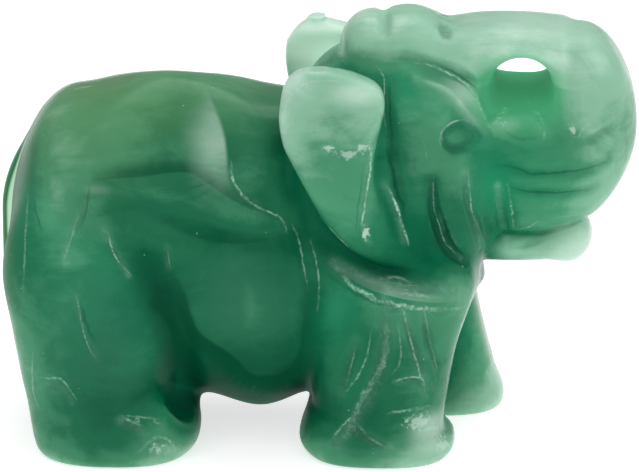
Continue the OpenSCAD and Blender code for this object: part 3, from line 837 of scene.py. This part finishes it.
def lines_on_stone(lines, reach, run_out=0.5):
    """What the surface knows of a set of lines, each (path of [x, z], width, strength): the
    distance from the nearest line over its width, signed by its side, and the strength there,
    which fades at the line's ends and within reach of it."""
    out = np.zeros((len(place), 3), np.float32)
    out[:, 0] = 9
    for side in (-1, 1):
        faces_out = normals[:, 1] * side
        shown = np.nonzero((place[:, 1] * side > 2) & (faces_out > 0.05))[0]
        flat = place[shown][:, [0, 2]]
        if side > 0:       # the lines of the left side wander away from those of the right
            flat = flat + 0.25 * np.sin(1.1 * flat[:, ::-1] + [0.7, 1.9])
        turned = np.clip((faces_out[shown] - 0.05) / 0.2, 0, 1)
        closest = np.full(len(shown), 9.0)
        for path, width, strength in lines:
            line, along = spaced(path, 0.3)
            box = ((flat > line.min(0) - 2 * reach) & (flat < line.max(0) + 2 * reach)).all(1)
            mine = np.nonzero(box)[0]
            for a, b, start, stop in zip(line[:-1], line[1:], along[:-1], along[1:]):
                v, d = b - a, flat[mine] - a
                t = (d @ v) / (v @ v)
                off = d - np.clip(t, 0, 1)[:, None] * v
                far = np.linalg.norm(off, axis=1)
                wins = far < closest[mine]
                k = mine[wins]
                place_along = (start + np.clip(t[wins], 0, 1) * (stop - start)) / along[-1]
                taper = np.sin(np.pi * np.clip(place_along, 0.03, 0.97)) ** run_out
                past = np.maximum(-t[wins], t[wins] - 1) * np.linalg.norm(v)
                taper *= np.exp(-(np.maximum(past, 0) / 0.2) ** 2)
                fade = np.clip((reach - far[wins]) / (0.4 * reach), 0, 1)
                side_of = np.sign(v[0] * d[wins, 1] - v[1] * d[wins, 0])
                closest[k] = far[wins]
                out[shown[k], 0] = side_of * far[wins] / width
                out[shown[k], 1] = strength * taper * fade * turned[k]
    return out


# Fine marks of the burr, [x, z] on the flank: each has its path, half its width and its strength. The light
# lines are partly frosted scratches and partly painted highlights along edges
LIGHT_LINES = [
    ([(4.5, 26.3), (4.5, 24.6), (4.3, 23), (4, 21), (3.8, 19.5), (4.1, 18.3)], 0.11, 0.9),
    ([(5.7, 22.6), (6.2, 21.6), (6.6, 20.5), (7.1, 18.8), (7.4, 17.7)], 0.13, 1),
    ([(9.3, 23.1), (9.3, 20.9), (9.7, 19.3), (10.2, 17.6), (10.9, 16.7)], 0.08, 0.6),
    ([(7.6, 31.3), (9.2, 31.1), (10.4, 30.6), (11.5, 30), (12.2, 29.2), (12.7, 28.2), (13.1, 27.3),
     (13.5, 26.7)], 0.12, 0.9),
    ([(13.6, 26.6), (14.4, 27.1), (15, 27.3)], 0.2, 0.7),
    ([(1.3, 19.2), (2, 18.4), (2.7, 17.6)], 0.1, 0.6),
    ([(-1.6, 19.4), (-1.1, 18.2), (-0.7, 16.4), (-0.4, 14.8)], 0.1, 0.55),
    ([(1.9, 15.8), (3.2, 14.5), (5, 13.6), (6.9, 13.2), (8.5, 13), (10.4, 12.8), (11.7, 12.7)], 0.22, 0.8),
    ([(8.5, 26), (8.8, 24.6)], 0.07, 0.5),
    ([(4.6, 11.3), (4.3, 9.5), (3.7, 7.9), (2.7, 6.4)], 0.1, 0.55),
    ([(6.6, 11.9), (6.9, 10.3), (6.8, 8.7), (6.3, 8)], 0.1, 0.35),
    ([(8.7, 12.8), (9.2, 10.2), (9.7, 7.9)], 0.1, 0.5),
    ([(6.4, 7.3), (7.3, 7.6), (8.5, 7.4), (8.8, 6.3)], 0.12, 0.8),
    ([(1.7, 2.6), (2.4, 3.6), (3.4, 4.5)], 0.12, 0.6),
    ([(12.2, 12.9), (11.6, 11), (11, 9), (10.6, 6.9), (10.5, 5)], 0.1, 0.6),
    ([(-18, 20.4), (-18.4, 19.1), (-18.8, 17.9), (-19.1, 17)], 0.11, 0.6),
    ([(-15.7, 19.2), (-15.3, 17.7), (-14.7, 16.7), (-14, 15.9)], 0.08, 0.7),
    ([(-11.1, 17.8), (-10.9, 16.5)], 0.06, 0.6),
    ([(-21.2, 7.2), (-20.1, 7.3), (-19.4, 7.3), (-18.7, 6.4), (-18.3, 5.7)], 0.13, 0.5),
    ([(-14.7, 4.4), (-14, 3.9), (-13.2, 3.6)], 0.13, 1),
    ([(-13.5, 1.4), (-12.9, 2.1), (-11.9, 2.6), (-11.1, 2.2), (-10.6, 1.3)], 0.16, 0.7),
    ([(-6.4, 24), (-6.2, 22.9), (-5.6, 22), (-5, 21.5)], 0.14, 1),
    ([(-21.7, 9.2), (-21.8, 7), (-21.7, 5.4), (-21.3, 4.4)], 0.1, 0.4),
    ([(-22.1, 21.2), (-22.2, 17.8), (-22.3, 14.1)], 0.12, 0.35),
    ([(15, 21.9), (15.3, 19.8), (15.5, 17.8)], 0.12, 0.5),
    ([(17.4, 18.6), (16.6, 17.9), (15.9, 17.6)], 0.1, 0.4),
    ([(9.8, 25.6), (9.9, 26.5), (10.6, 27.1), (11.5, 27.2), (12.3, 26.8)], 0.13, 0.6),
    ([(16.9, 27.2), (17.6, 26.9), (17.8, 26.1), (17.7, 25.4)], 0.14, 0.5),
    ([(20.4, 25.7), (20.8, 26.6), (21.6, 27)], 0.14, 0.5),
    ([(-2.2, 26.2), (-2.2, 28.2), (-1.8, 29.6), (-0.8, 30.6), (0.6, 31), (2.2, 30.9)], 0.12, 0.8)]
# More light lines, on their own because each set keeps only the nearest of its lines at a point
LIGHT_LINES_2 = [
    ([(4.7, 31), (5.3, 30.3), (5.4, 29.2), (5.4, 28.1), (5.6, 26.6)], 0.08, 0.5),
    ([(11.9, 23.4), (12.1, 21.5), (12.2, 20.1), (12.8, 18.2)], 0.1, 0.55),
    ([(-0.2, 18), (0.3, 16.4), (0.5, 14.5), (0.4, 12.5)], 0.1, 0.5),
    ([(5.2, 14.9), (6.5, 15), (7.5, 14.7)], 0.14, 0.3),
    ([(5.4, 14.3), (7.1, 14.1), (9.4, 13.8)], 0.16, 0.5),
    ([(3.4, 9.9), (3, 8.3), (2.7, 6.9)], 0.1, 0.4),
    ([(5.8, 11.7), (5.7, 9.5), (5.2, 7.9), (4.2, 6.3), (3.4, 4.7), (3, 3)], 0.3, 0.45),
    ([(7, 13.1), (7.4, 11.5), (7.8, 9.9), (8.3, 8.1), (8.5, 7)], 0.1, 0.9),
    ([(3.7, 3.6), (4.6, 2.6), (5.7, 2)], 0.14, 0.6),
    ([(6, 4.7), (7.3, 4.9), (9.1, 5)], 0.16, 0.6),
    ([(-14.7, 4.4), (-13.3, 4.3), (-12.3, 4.1)], 0.1, 0.7),
    ([(-12.3, 3.9), (-11.8, 3.6)], 0.1, 0.6),
    ([(-5, 21.4), (-4.1, 20.8), (-3.1, 20.3), (-2.4, 19.9), (-2, 19)], 0.1, 0.7),
    ([(-18.1, 14.2), (-17.7, 11.7), (-17.2, 9.9), (-16.6, 9)], 0.08, 0.45)]
# Painted shade along the grooves
DARK_LINES = [
    ([(5.8, 29.7), (5.9, 27.5), (6.1, 25.5)], 0.14, 0.7),
    ([(5.7, 25.5), (6.1, 23.9), (6.4, 22.3), (6.9, 21), (7.2, 19.3)], 0.2, 0.8),
    ([(9.5, 23.1), (9.6, 21.3), (10.1, 19.5), (10.5, 17.8), (11.2, 16.8), (11.8, 16.1)], 0.24, 0.95),
    ([(12.6, 20), (13, 18.3), (13.4, 16.9)], 0.14, 0.7),
    ([(-17.2, 22.5), (-17.3, 21.1), (-17.7, 19.8)], 0.12, 0.4),
    ([(-17.8, 13.7), (-17.4, 12.1), (-16.8, 10.5)], 0.22, 0.6),
    ([(3.9, 24.6), (3.8, 23), (3.5, 21), (3.4, 19)], 0.12, 0.35),
    ([(1.2, 15.4), (3, 14.2), (5.1, 13.4), (7, 13.1)], 0.2, 0.5),
    ([(14.6, 26.2), (15.8, 25.6), (17.2, 25.7)], 0.2, 0.5),
    ([(14.2, 23.5), (15.6, 23.3), (16.7, 22.8), (18, 22.8), (20.4, 23.1), (22.4, 23.6)], 0.14, 0.5),
    ([(15.3, 21.7), (16.6, 21.3), (18.5, 21.2), (21.2, 21.4)], 0.14, 0.5),
    ([(9.5, 31.3), (11, 30.6), (12, 29.9), (12.6, 29.2), (13.1, 28), (13.7, 26.8)], 0.12, 0.6),
    ([(-21.6, 21.2), (-21.3, 20.2), (-20.8, 19.1)], 0.15, 0.5)]
# Bands with one crisp edge, which fade out on its left hand, or on its right where the width is negative:
# painted shade under the haunch and between the legs and the belly, painted highlights on the shoulder, the
# head's ridge and the chest
DARK_BANDS = [
    ([(-16.7, 22.8), (-15.5, 23), (-13.2, 23.1), (-10.9, 23.3), (-9.3, 23.2), (-7.4, 22.1), (-5.1, 20.9),
     (-3.4, 20.2)], 1.7, 0.65),
    ([(-11.6, 19.9), (-8.5, 18.6), (-5.5, 18.2), (-2.4, 18.5)], 0.9, 0.45),
    ([(-10.1, 15.6), (-9.5, 13.9), (-9.2, 12.4), (-8.7, 11.2), (-7.8, 10.3), (-6.8, 9.6), (-5.6, 8.5),
     (-5, 7.6), (-4.2, 7.2), (-2.3, 7.2), (-1.6, 8.2), (-1.1, 9.5), (-1, 10.6), (-0.7, 13)], -3.4, 1),
    ([(-12.8, 13.2), (-11.8, 12.3), (-11.1, 10.7), (-10.9, 9), (-10.8, 6.9), (-10.9, 5.2)], 1.9, 1)]
LIGHT_BANDS = [
    ([(-8.8, 28.6), (-7.6, 27.2), (-6.9, 25.8), (-6.6, 24.4), (-6.4, 23), (-5.9, 22)], -3.8, 1),
    ([(9.4, 30.6), (11, 30.1), (12, 29.3), (12.6, 28.5), (13.1, 27.5), (13.6, 26.6)], -2, 0.9),
    ([(1.6, 16.1), (3.2, 14.8), (5, 14.1), (6.9, 13.7), (8.5, 13.5), (10.4, 13.3), (12, 13.3)], 1.1, 0.45)]

drawn = {"light_line": lines_on_stone(LIGHT_LINES, 0.7),
         "light_line_2": lines_on_stone(LIGHT_LINES_2, 0.7),
         "dark_line": lines_on_stone(DARK_LINES, 0.8),
         "dark_band": lines_on_stone(DARK_BANDS, 2.4),
         "light_band": lines_on_stone(LIGHT_BANDS, 4.5, 1.4)}

marks = {}
for name, zones in ZONES.items():
    total = sum(w * near(c, r) for c, r, w in zones)
    marks[name] = total if name == "glow" else np.clip(total, 0, 1)
filled = np.clip(0.5 - field / PITCH, 0, 1)
# How much stone lies around a point: high where it is thick and in creases and hollows, used for painted
# shade there; the finer one also gives painted rim light on thin edges
marks["deep_and_crease_shade"] = sample(blur(filled, 2.4), points)
marks["edge"] = sample(blur(filled, 0.5), points)
marks["frost"] = np.clip(sample(frost, points), 0, 1)
marks["shade"] = np.clip(sample(dark, points), 0, 1)

# The wall of the hole, which glows most in its middle
x, y, z = place.T
marks["bore"] = np.clip(1 - tunnel(x, y, z) / 0.9, 0, 1) * (np.abs(y) < TRUNK_HALF)
marks["glow"] = marks["glow"] + marks["bore"] * (0.15 + 0.42 * np.clip((6.0 - np.abs(y)) / 1.5, 0, 1))

# The light under the skin stops at the seams between the pieces, so it is faded out towards them
SEAM_REACH = 1.3
walls = kdtree.KDTree(int((~on_surface).sum()))
for k, p in enumerate(place[~on_surface]):
    walls.insert(p, k)
walls.balance()
to_seam = np.array([walls.find(p)[2] for p in place])
marks["clear"] = 1 - np.exp(-(to_seam / SEAM_REACH) ** 2)

# A painted highlight along both edges of the tail, fainter on the left
TAIL_EDGE, TAIL_FRONT, STREAK_LOW, STREAK_TOP = 1.35, -20, 13, 25
tail_edge = np.exp(-((np.abs(y) - TAIL_EDGE) / 0.4) ** 2) * (x < TAIL_FRONT)
up_tail = np.clip((z - STREAK_LOW) / 3, 0, 1) * np.clip((STREAK_TOP - z) / 1.5, 0, 1)
marks["tail_highlight"] = tail_edge * up_tail * np.where(y < 0, 1, 0.5)


# ------------------------ one piece for each node
LEAST_AGREEMENT = 0.35        # of a corner's smooth direction with its face, to be used for it


def piece_of(name, number, material):
    """A closed mesh of one part, with its border on the creases."""
    mine = quad_parts == number
    faces, outside = quads[mine], quad_outer[mine]
    ids, faces = np.unique(faces, return_inverse=True)
    faces = faces.reshape(-1, 4)
    at = place[ids] * UNIT
    mesh = bpy.data.meshes.new(name + "_stone")
    mesh.vertices.add(len(ids))
    mesh.vertices.foreach_set("co", at.astype(np.float32).ravel())
    mesh.loops.add(len(faces) * 4)
    mesh.loops.foreach_set("vertex_index", faces.astype(np.int32).ravel())
    mesh.polygons.add(len(faces))
    mesh.polygons.foreach_set("loop_start", np.arange(0, len(faces) * 4, 4, dtype=np.int32))
    mesh.update(calc_edges=True)
    mesh.shade_smooth()
    corners = at[faces]
    flat = np.cross(corners[:, 2] - corners[:, 0], corners[:, 3] - corners[:, 1])
    flat /= np.maximum(np.linalg.norm(flat, axis=1, keepdims=True), 1e-12)
    smooth, facing = normals[ids][faces.ravel()], np.repeat(flat, 4, axis=0)
    good = np.repeat(outside, 4) & ((smooth * facing).sum(1) > LEAST_AGREEMENT)
    loop_normals = np.where(good[:, None], smooth, facing)
    mesh.normals_split_custom_set(loop_normals.tolist())
    for mark, values in marks.items():
        attribute = mesh.attributes.new(mark, "FLOAT", "POINT")
        attribute.data.foreach_set("value", values[ids].astype(np.float32))
    for line, vectors in drawn.items():
        attribute = mesh.attributes.new(line, "FLOAT_VECTOR", "POINT")
        attribute.data.foreach_set("vector", vectors[ids].ravel())
    mesh.materials.append(material)
    piece = bpy.data.objects.new(name + "_stone", mesh)
    bpy.context.scene.collection.objects.link(piece)
    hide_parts(name)
    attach(piece, "root")
    return piece


# ------------------------ the stone
def jade():
    """Polished green stone: cloudy, paler where it is thin, with frosted burr marks, painted shade in its
    creases and hollows, and painted highlights, a painted reflection and a painted glow.
    """
    mat = bpy.data.materials.new("jade")
    mat.use_nodes = True
    nodes, links = mat.node_tree.nodes, mat.node_tree.links
    nodes.clear()
    out = nodes.new("ShaderNodeOutputMaterial")
    shader = nodes.new("ShaderNodeBsdfPrincipled")
    links.new(shader.outputs[0], out.inputs[0])
    where = nodes.new("ShaderNodeTexCoord").outputs["Object"]

    def feed(socket, value):
        """Sets a socket to a number or a colour, or joins another node's output to it."""
        if isinstance(value, (int, float)):
            socket.default_value = value
        elif isinstance(value, tuple):
            socket.default_value = (*value, 1)
        else:
            links.new(value, socket)

    def maths(kind, a, b, clamp=False):
        node = nodes.new("ShaderNodeMath")
        node.operation = kind
        node.use_clamp = clamp
        feed(node.inputs[0], a)
        feed(node.inputs[1], b)
        return node.outputs[0]

    def times(a, b):
        return maths("MULTIPLY", a, b)

    def plus(a, b, clamp=False):
        return maths("ADD", a, b, clamp)

    def minus(a, b):
        return maths("SUBTRACT", a, b)

    def mark(name, share=1):
        """One of the marks that the surface carries, or a share of it."""
        node = nodes.new("ShaderNodeAttribute")
        node.attribute_name = name
        return node.outputs["Fac"] if share == 1 else times(node.outputs["Fac"], share)

    def textured(kind, size_mm, stretch=(1, 1, 1), turn=(0, 0, 0)):
        """A texture whose features are about size_mm across."""
        scale = nodes.new("ShaderNodeMapping")
        settings(scale, {"Scale": [1 / (UNIT * size_mm * k) for k in stretch],
                         "Rotation": [math.radians(a) for a in turn]})
        links.new(where, scale.inputs["Vector"])
        node = nodes.new(kind)
        settings(node, {"Scale": 1})
        links.new(scale.outputs[0], node.inputs["Vector"])
        return node

    def noise(size_mm, detail=4, rough=0.55, distortion=0.0, **placing):
        node = textured("ShaderNodeTexNoise", size_mm, **placing)
        settings(node, {"Detail": detail, "Roughness": rough, "Distortion": distortion})
        return node.outputs["Fac"]

    def swing(texture, amount):
        """A texture as a change up and down by half that amount."""
        return times(minus(texture, 0.5), amount)

    def fit(value, low, high, to_low=0.0, to_high=1.0):
        """A value that runs from low to high, brought smoothly to another range."""
        node = nodes.new("ShaderNodeMapRange")
        node.interpolation_type = "SMOOTHSTEP"
        settings(node, {"From Min": low, "From Max": high, "To Min": to_low, "To Max": to_high})
        links.new(value, node.inputs["Value"])
        return node.outputs["Result"]

    def mix(share, a, b):
        node = nodes.new("ShaderNodeMix")
        node.data_type = "RGBA"
        for socket, value in ((0, share), (6, a), (7, b)):
            feed(node.inputs[socket], value)
        return node.outputs[2]

    def ramp(value, stops):
        node = nodes.new("ShaderNodeValToRGB")
        node.color_ramp.interpolation = "EASE"
        elements = node.color_ramp.elements
        while len(elements) < len(stops):
            elements.new(0.5)
        for e, (at, colour) in zip(elements, stops):
            e.position = at
            e.color = (*srgb(*colour), 1)
        links.new(value, node.inputs[0])
        return node.outputs[0]

    def drawing(name):
        """What the surface knows of a set of lines: distance over width, and strength."""
        node = nodes.new("ShaderNodeAttribute")
        node.attribute_name = name
        split = nodes.new("ShaderNodeSeparateXYZ")
        links.new(node.outputs["Vector"], split.inputs[0])
        return split.outputs[0], split.outputs[1]

    def line(name, wobble, blunt=0.3):
        """How much of a crisp, slightly wandering line shows at a point."""
        distance, strength = drawing(name)
        across = maths("ABSOLUTE", plus(distance, wobble), 0)
        return times(fit(across, 1.0, blunt), strength)

    def band(name):
        """A band that starts crisply at its line and fades out on one hand of it."""
        across, strength = drawing(name)
        shown = times(fit(across, -0.02, 0.08), fit(across, 1.0, 0.15))
        return times(shown, strength)

    clouds = noise(7.0, 5, 0.6, 0.6)
    wisps = noise(2.2, 6, 0.62, 1.2, stretch=(2.6, 1, 1), turn=(0, 12, 0))
    grain = noise(0.5, 3, 0.6)

    # The body colour: the thicker the stone, the darker. This also paints shade into creases, hollows and
    # burr cuts and onto the darkened zones, and paints light onto the pale zones
    depth = plus(plus(mark("deep_and_crease_shade"), swing(clouds, 0.28)), swing(wisps, 0.12))
    depth = plus(minus(depth, mark("pale_and_painted_light", 0.30)), mark("shade", 0.22))
    colour = ramp(plus(depth, mark("thick")), [
        (0.12, (192, 220, 204)), (0.26, (142, 188, 162)), (0.40, (74, 142, 108)),
        (0.52, (34, 110, 78)), (0.64, (6, 88, 59)), (0.78, (0, 68, 45)), (0.95, (0, 48, 32))])

    # Tints, broad ones first: the stone's own olive and vivid greens, milky clouds with painted highlights,
    # painted rim light on thin edges, painted shade in creases, a painted reflection, and bands of painted
    # shade and painted highlight
    # painted shade and painted highlights, in bands
    gloom = times(band("dark_band"), 0.95)
    sheen = times(band("light_band"), fit(wisps, 0.3, 0.65, 0.45, 0.8))
    for share, tint in (
            (mark("olive", 0.75), (96, 142, 88)),
            (mark("vivid", 0.8), (26, 144, 100)),
            # milky clouds, and painted highlights
            (times(mark("milk_and_painted_highlight"), fit(wisps, 0.3, 0.7, 0.6, 1.0)), (196, 222, 206)),
            (times(fit(mark("edge"), 0.42, 0.24), 0.25), (176, 214, 194)),      # thin rims: painted rim light
            (times(fit(mark("edge"), 0.56, 0.75), 0.5), (0, 92, 60)),           # creases: painted shade
            # a painted reflection, greyish
            (times(mark("painted_reflection"), fit(clouds, 0.3, 0.6, 0.25, 0.5)), (56, 116, 92)),
            # painted shade in bands
            (gloom, (0, 72, 45)),
            # painted highlights in bands
            (sheen, (170, 200, 182))):
        colour = mix(share, colour, srgb(*tint))

    # Marks of the burr: frosted cuts, painted shade along the grooves, light scratches that are partly
    # painted highlights on edges, flakes and specks; then painted light on the hole's wall and a painted
    # highlight along the tail's edges
    wander = swing(noise(0.7, 2), 2.2)
    grit = times(fit(noise(0.3, 2), 0.38, 0.58, 0.25, 1.0), fit(noise(1.8, 2), 0.36, 0.56, 0.35, 1.0))
    chips = times(fit(grain, 0.50, 0.62), mark("frost"))
    # painted shade along the grooves
    cuts = times(line("dark_line", wander, 0.2), 0.8)
    # light scratches, partly painted highlights on edges
    scratches_and_glints = times(maths("MAXIMUM", line("light_line", wander), line("light_line_2", wander)), grit)
    flaked = times(fit(plus(mark("chip", 0.4), noise(0.32, 3)), 0.62, 0.84), fit(mark("chip"), 0.0, 0.2))
    spots = textured("ShaderNodeTexVoronoi", 1.3).outputs["Distance"]
    specks = times(fit(spots, 0.06, 0.03), fit(noise(5.0), 0.5, 0.6))
    for share, tint in (
            (plus(mark("frost", 0.3), times(chips, 0.25), True), (150, 200, 176)),
            (cuts, (0, 66, 44)),
            (times(scratches_and_glints, 0.8), (178, 216, 198)),
            (times(flaked, 0.6), (196, 222, 208)),
            (times(specks, 0.5), (170, 212, 190)),
            # painted light on the wall of the hole
            (mark("bore", 0.65), (76, 154, 112)),
            # a painted highlight along the tail's edges
            (fit(mark("tail_highlight"), 0.3, 0.8, 0.0, 0.75), (180, 222, 190))):
        colour = mix(share, colour, srgb(*tint))
    links.new(colour, shader.inputs["Base Color"])

    # Light that comes through the stone, painted as a glow of its own: it makes up for the light under the
    # skin near the seams, where there is none, and it shows where the stone is thin, in the hole and in
    # some shaded hollows
    seam_fill = plus(times(minus(1.0, mark("clear")), 0.2), mark("glow"))
    links.new(mix(seam_fill, (0.0, 0.0, 0.0), colour), shader.inputs["Emission Color"])
    links.new(mark("clear", 0.7), shader.inputs["Subsurface Weight"])
    settings(shader, {"Emission Strength": 1.0, "Subsurface Radius": (0.5, 1.0, 0.75),
                      "Subsurface Scale": 1.5 * UNIT})

    # Polish: duller in the cuts, in the hole and in the shadows
    gloss = plus(fit(noise(3.0), 0.3, 0.7, 0.16, 0.24), mark("frost", 0.30))
    dull = plus(mark("bore", 0.5), mark("thick", 0.9))
    links.new(plus(plus(gloss, dull), times(gloom, 0.5), True), shader.inputs["Roughness"])
    settings(shader, {"IOR": 1.54, "Specular IOR Level": 0.1, "Specular Tint": (0.3, 0.85, 0.6, 1)})
    bump = nodes.new("ShaderNodeBump")
    settings(bump, {"Distance": 0.08 * UNIT, "Strength": 0.5})
    height = plus(times(noise(1.6, 3), 0.5), times(chips, -0.7))
    height = minus(height, plus(scratches_and_glints, times(cuts, 1.5)))
    links.new(height, bump.inputs["Height"])
    links.new(bump.outputs[0], shader.inputs["Normal"])
    return mat


stone = jade()
for number, name in enumerate(PARTS):
    piece_of(name, number, stone)

# ------------------------ camera, light and floor
# Places are in design millimetres, azimuths and elevations in degrees
PHOTO_W = 639                         # width of the picture in pixels
PX_PER_MM = 12.64                     # scale of the photo at the middle of the figurine
VIEW_AZIMUTH, VIEW_ELEVATION = 2.5, 18
CAMERA_AWAY, LIGHTS_AWAY = 400, 280
AIM, MIDDLE = (0.13, 0, 15.53), (0, 0, 15)     # of the picture and of the lights
SENSOR = 36
scene = bpy.context.scene


def facing(name, data, azimuth, elevation, distance, aim):
    """An object that faces a point from that distance, both in design millimetres: azimuth 0 is
    in front of the elephant's right side and 90 is beyond its trunk."""
    a, e = math.radians(azimuth), math.radians(elevation)
    away = Vector((math.sin(a) * math.cos(e), -math.cos(a) * math.cos(e), math.sin(e)))
    thing = bpy.data.objects.new(name, data)
    thing.location = (Vector(aim) + away * distance) * UNIT
    thing.rotation_mode = "QUATERNION"
    thing.rotation_quaternion = (-away).to_track_quat("-Z", "Y")
    scene.collection.objects.link(thing)
    return thing


def area_light(name, azimuth, elevation, size, power):
    """A soft light; its size is in design millimetres."""
    data = bpy.data.lights.new(name, "AREA")
    data.shape, data.size, data.size_y = "RECTANGLE", size[0] * UNIT, size[1] * UNIT
    data.energy = power
    facing(name, data, azimuth, elevation, LIGHTS_AWAY, MIDDLE)


lens = bpy.data.cameras.new("camera")
camera = facing("camera", lens, VIEW_AZIMUTH, VIEW_ELEVATION, CAMERA_AWAY, AIM)
lens.sensor_width = SENSOR
lens.lens = PX_PER_MM * CAMERA_AWAY / PHOTO_W * SENSOR
lens.clip_start, lens.clip_end = 0.01, 10
scene.camera = camera

area_light("key", -10, 44, (300, 180), 0.29)
area_light("side", 98, 32, (150, 110), 0.17)
area_light("top", 0, 88, (300, 300), 0.24)
area_light("back_light", 165, 52, (240, 120), 0.20)

world = bpy.data.worlds.new("room")
world.use_nodes = True
settings(world.node_tree.nodes["Background"], {"Color": (1, 1, 1, 1), "Strength": 0.33})
scene.world = world
scene.view_settings.view_transform = "Standard"

FLOOR_HALF = 2000 * UNIT
floor_mesh = bpy.data.meshes.new("floor")
floor_corners = [(x * FLOOR_HALF, y * FLOOR_HALF, 0) for x, y in ((-1, -1), (1, -1), (1, 1), (-1, 1))]
floor_mesh.from_pydata(floor_corners, [], [(0, 1, 2, 3)])
floor = bpy.data.objects.new("floor", floor_mesh)
scene.collection.objects.link(floor)
paper = bpy.data.materials.new("paper")
paper.use_nodes = True
settings(paper.node_tree.nodes["Principled BSDF"], {
    "Base Color": (0.6, 0.6, 0.6, 1), "Roughness": 0.9,
    "Emission Color": (1, 1, 1, 1), "Emission Strength": 0.68})
floor_mesh.materials.append(paper)
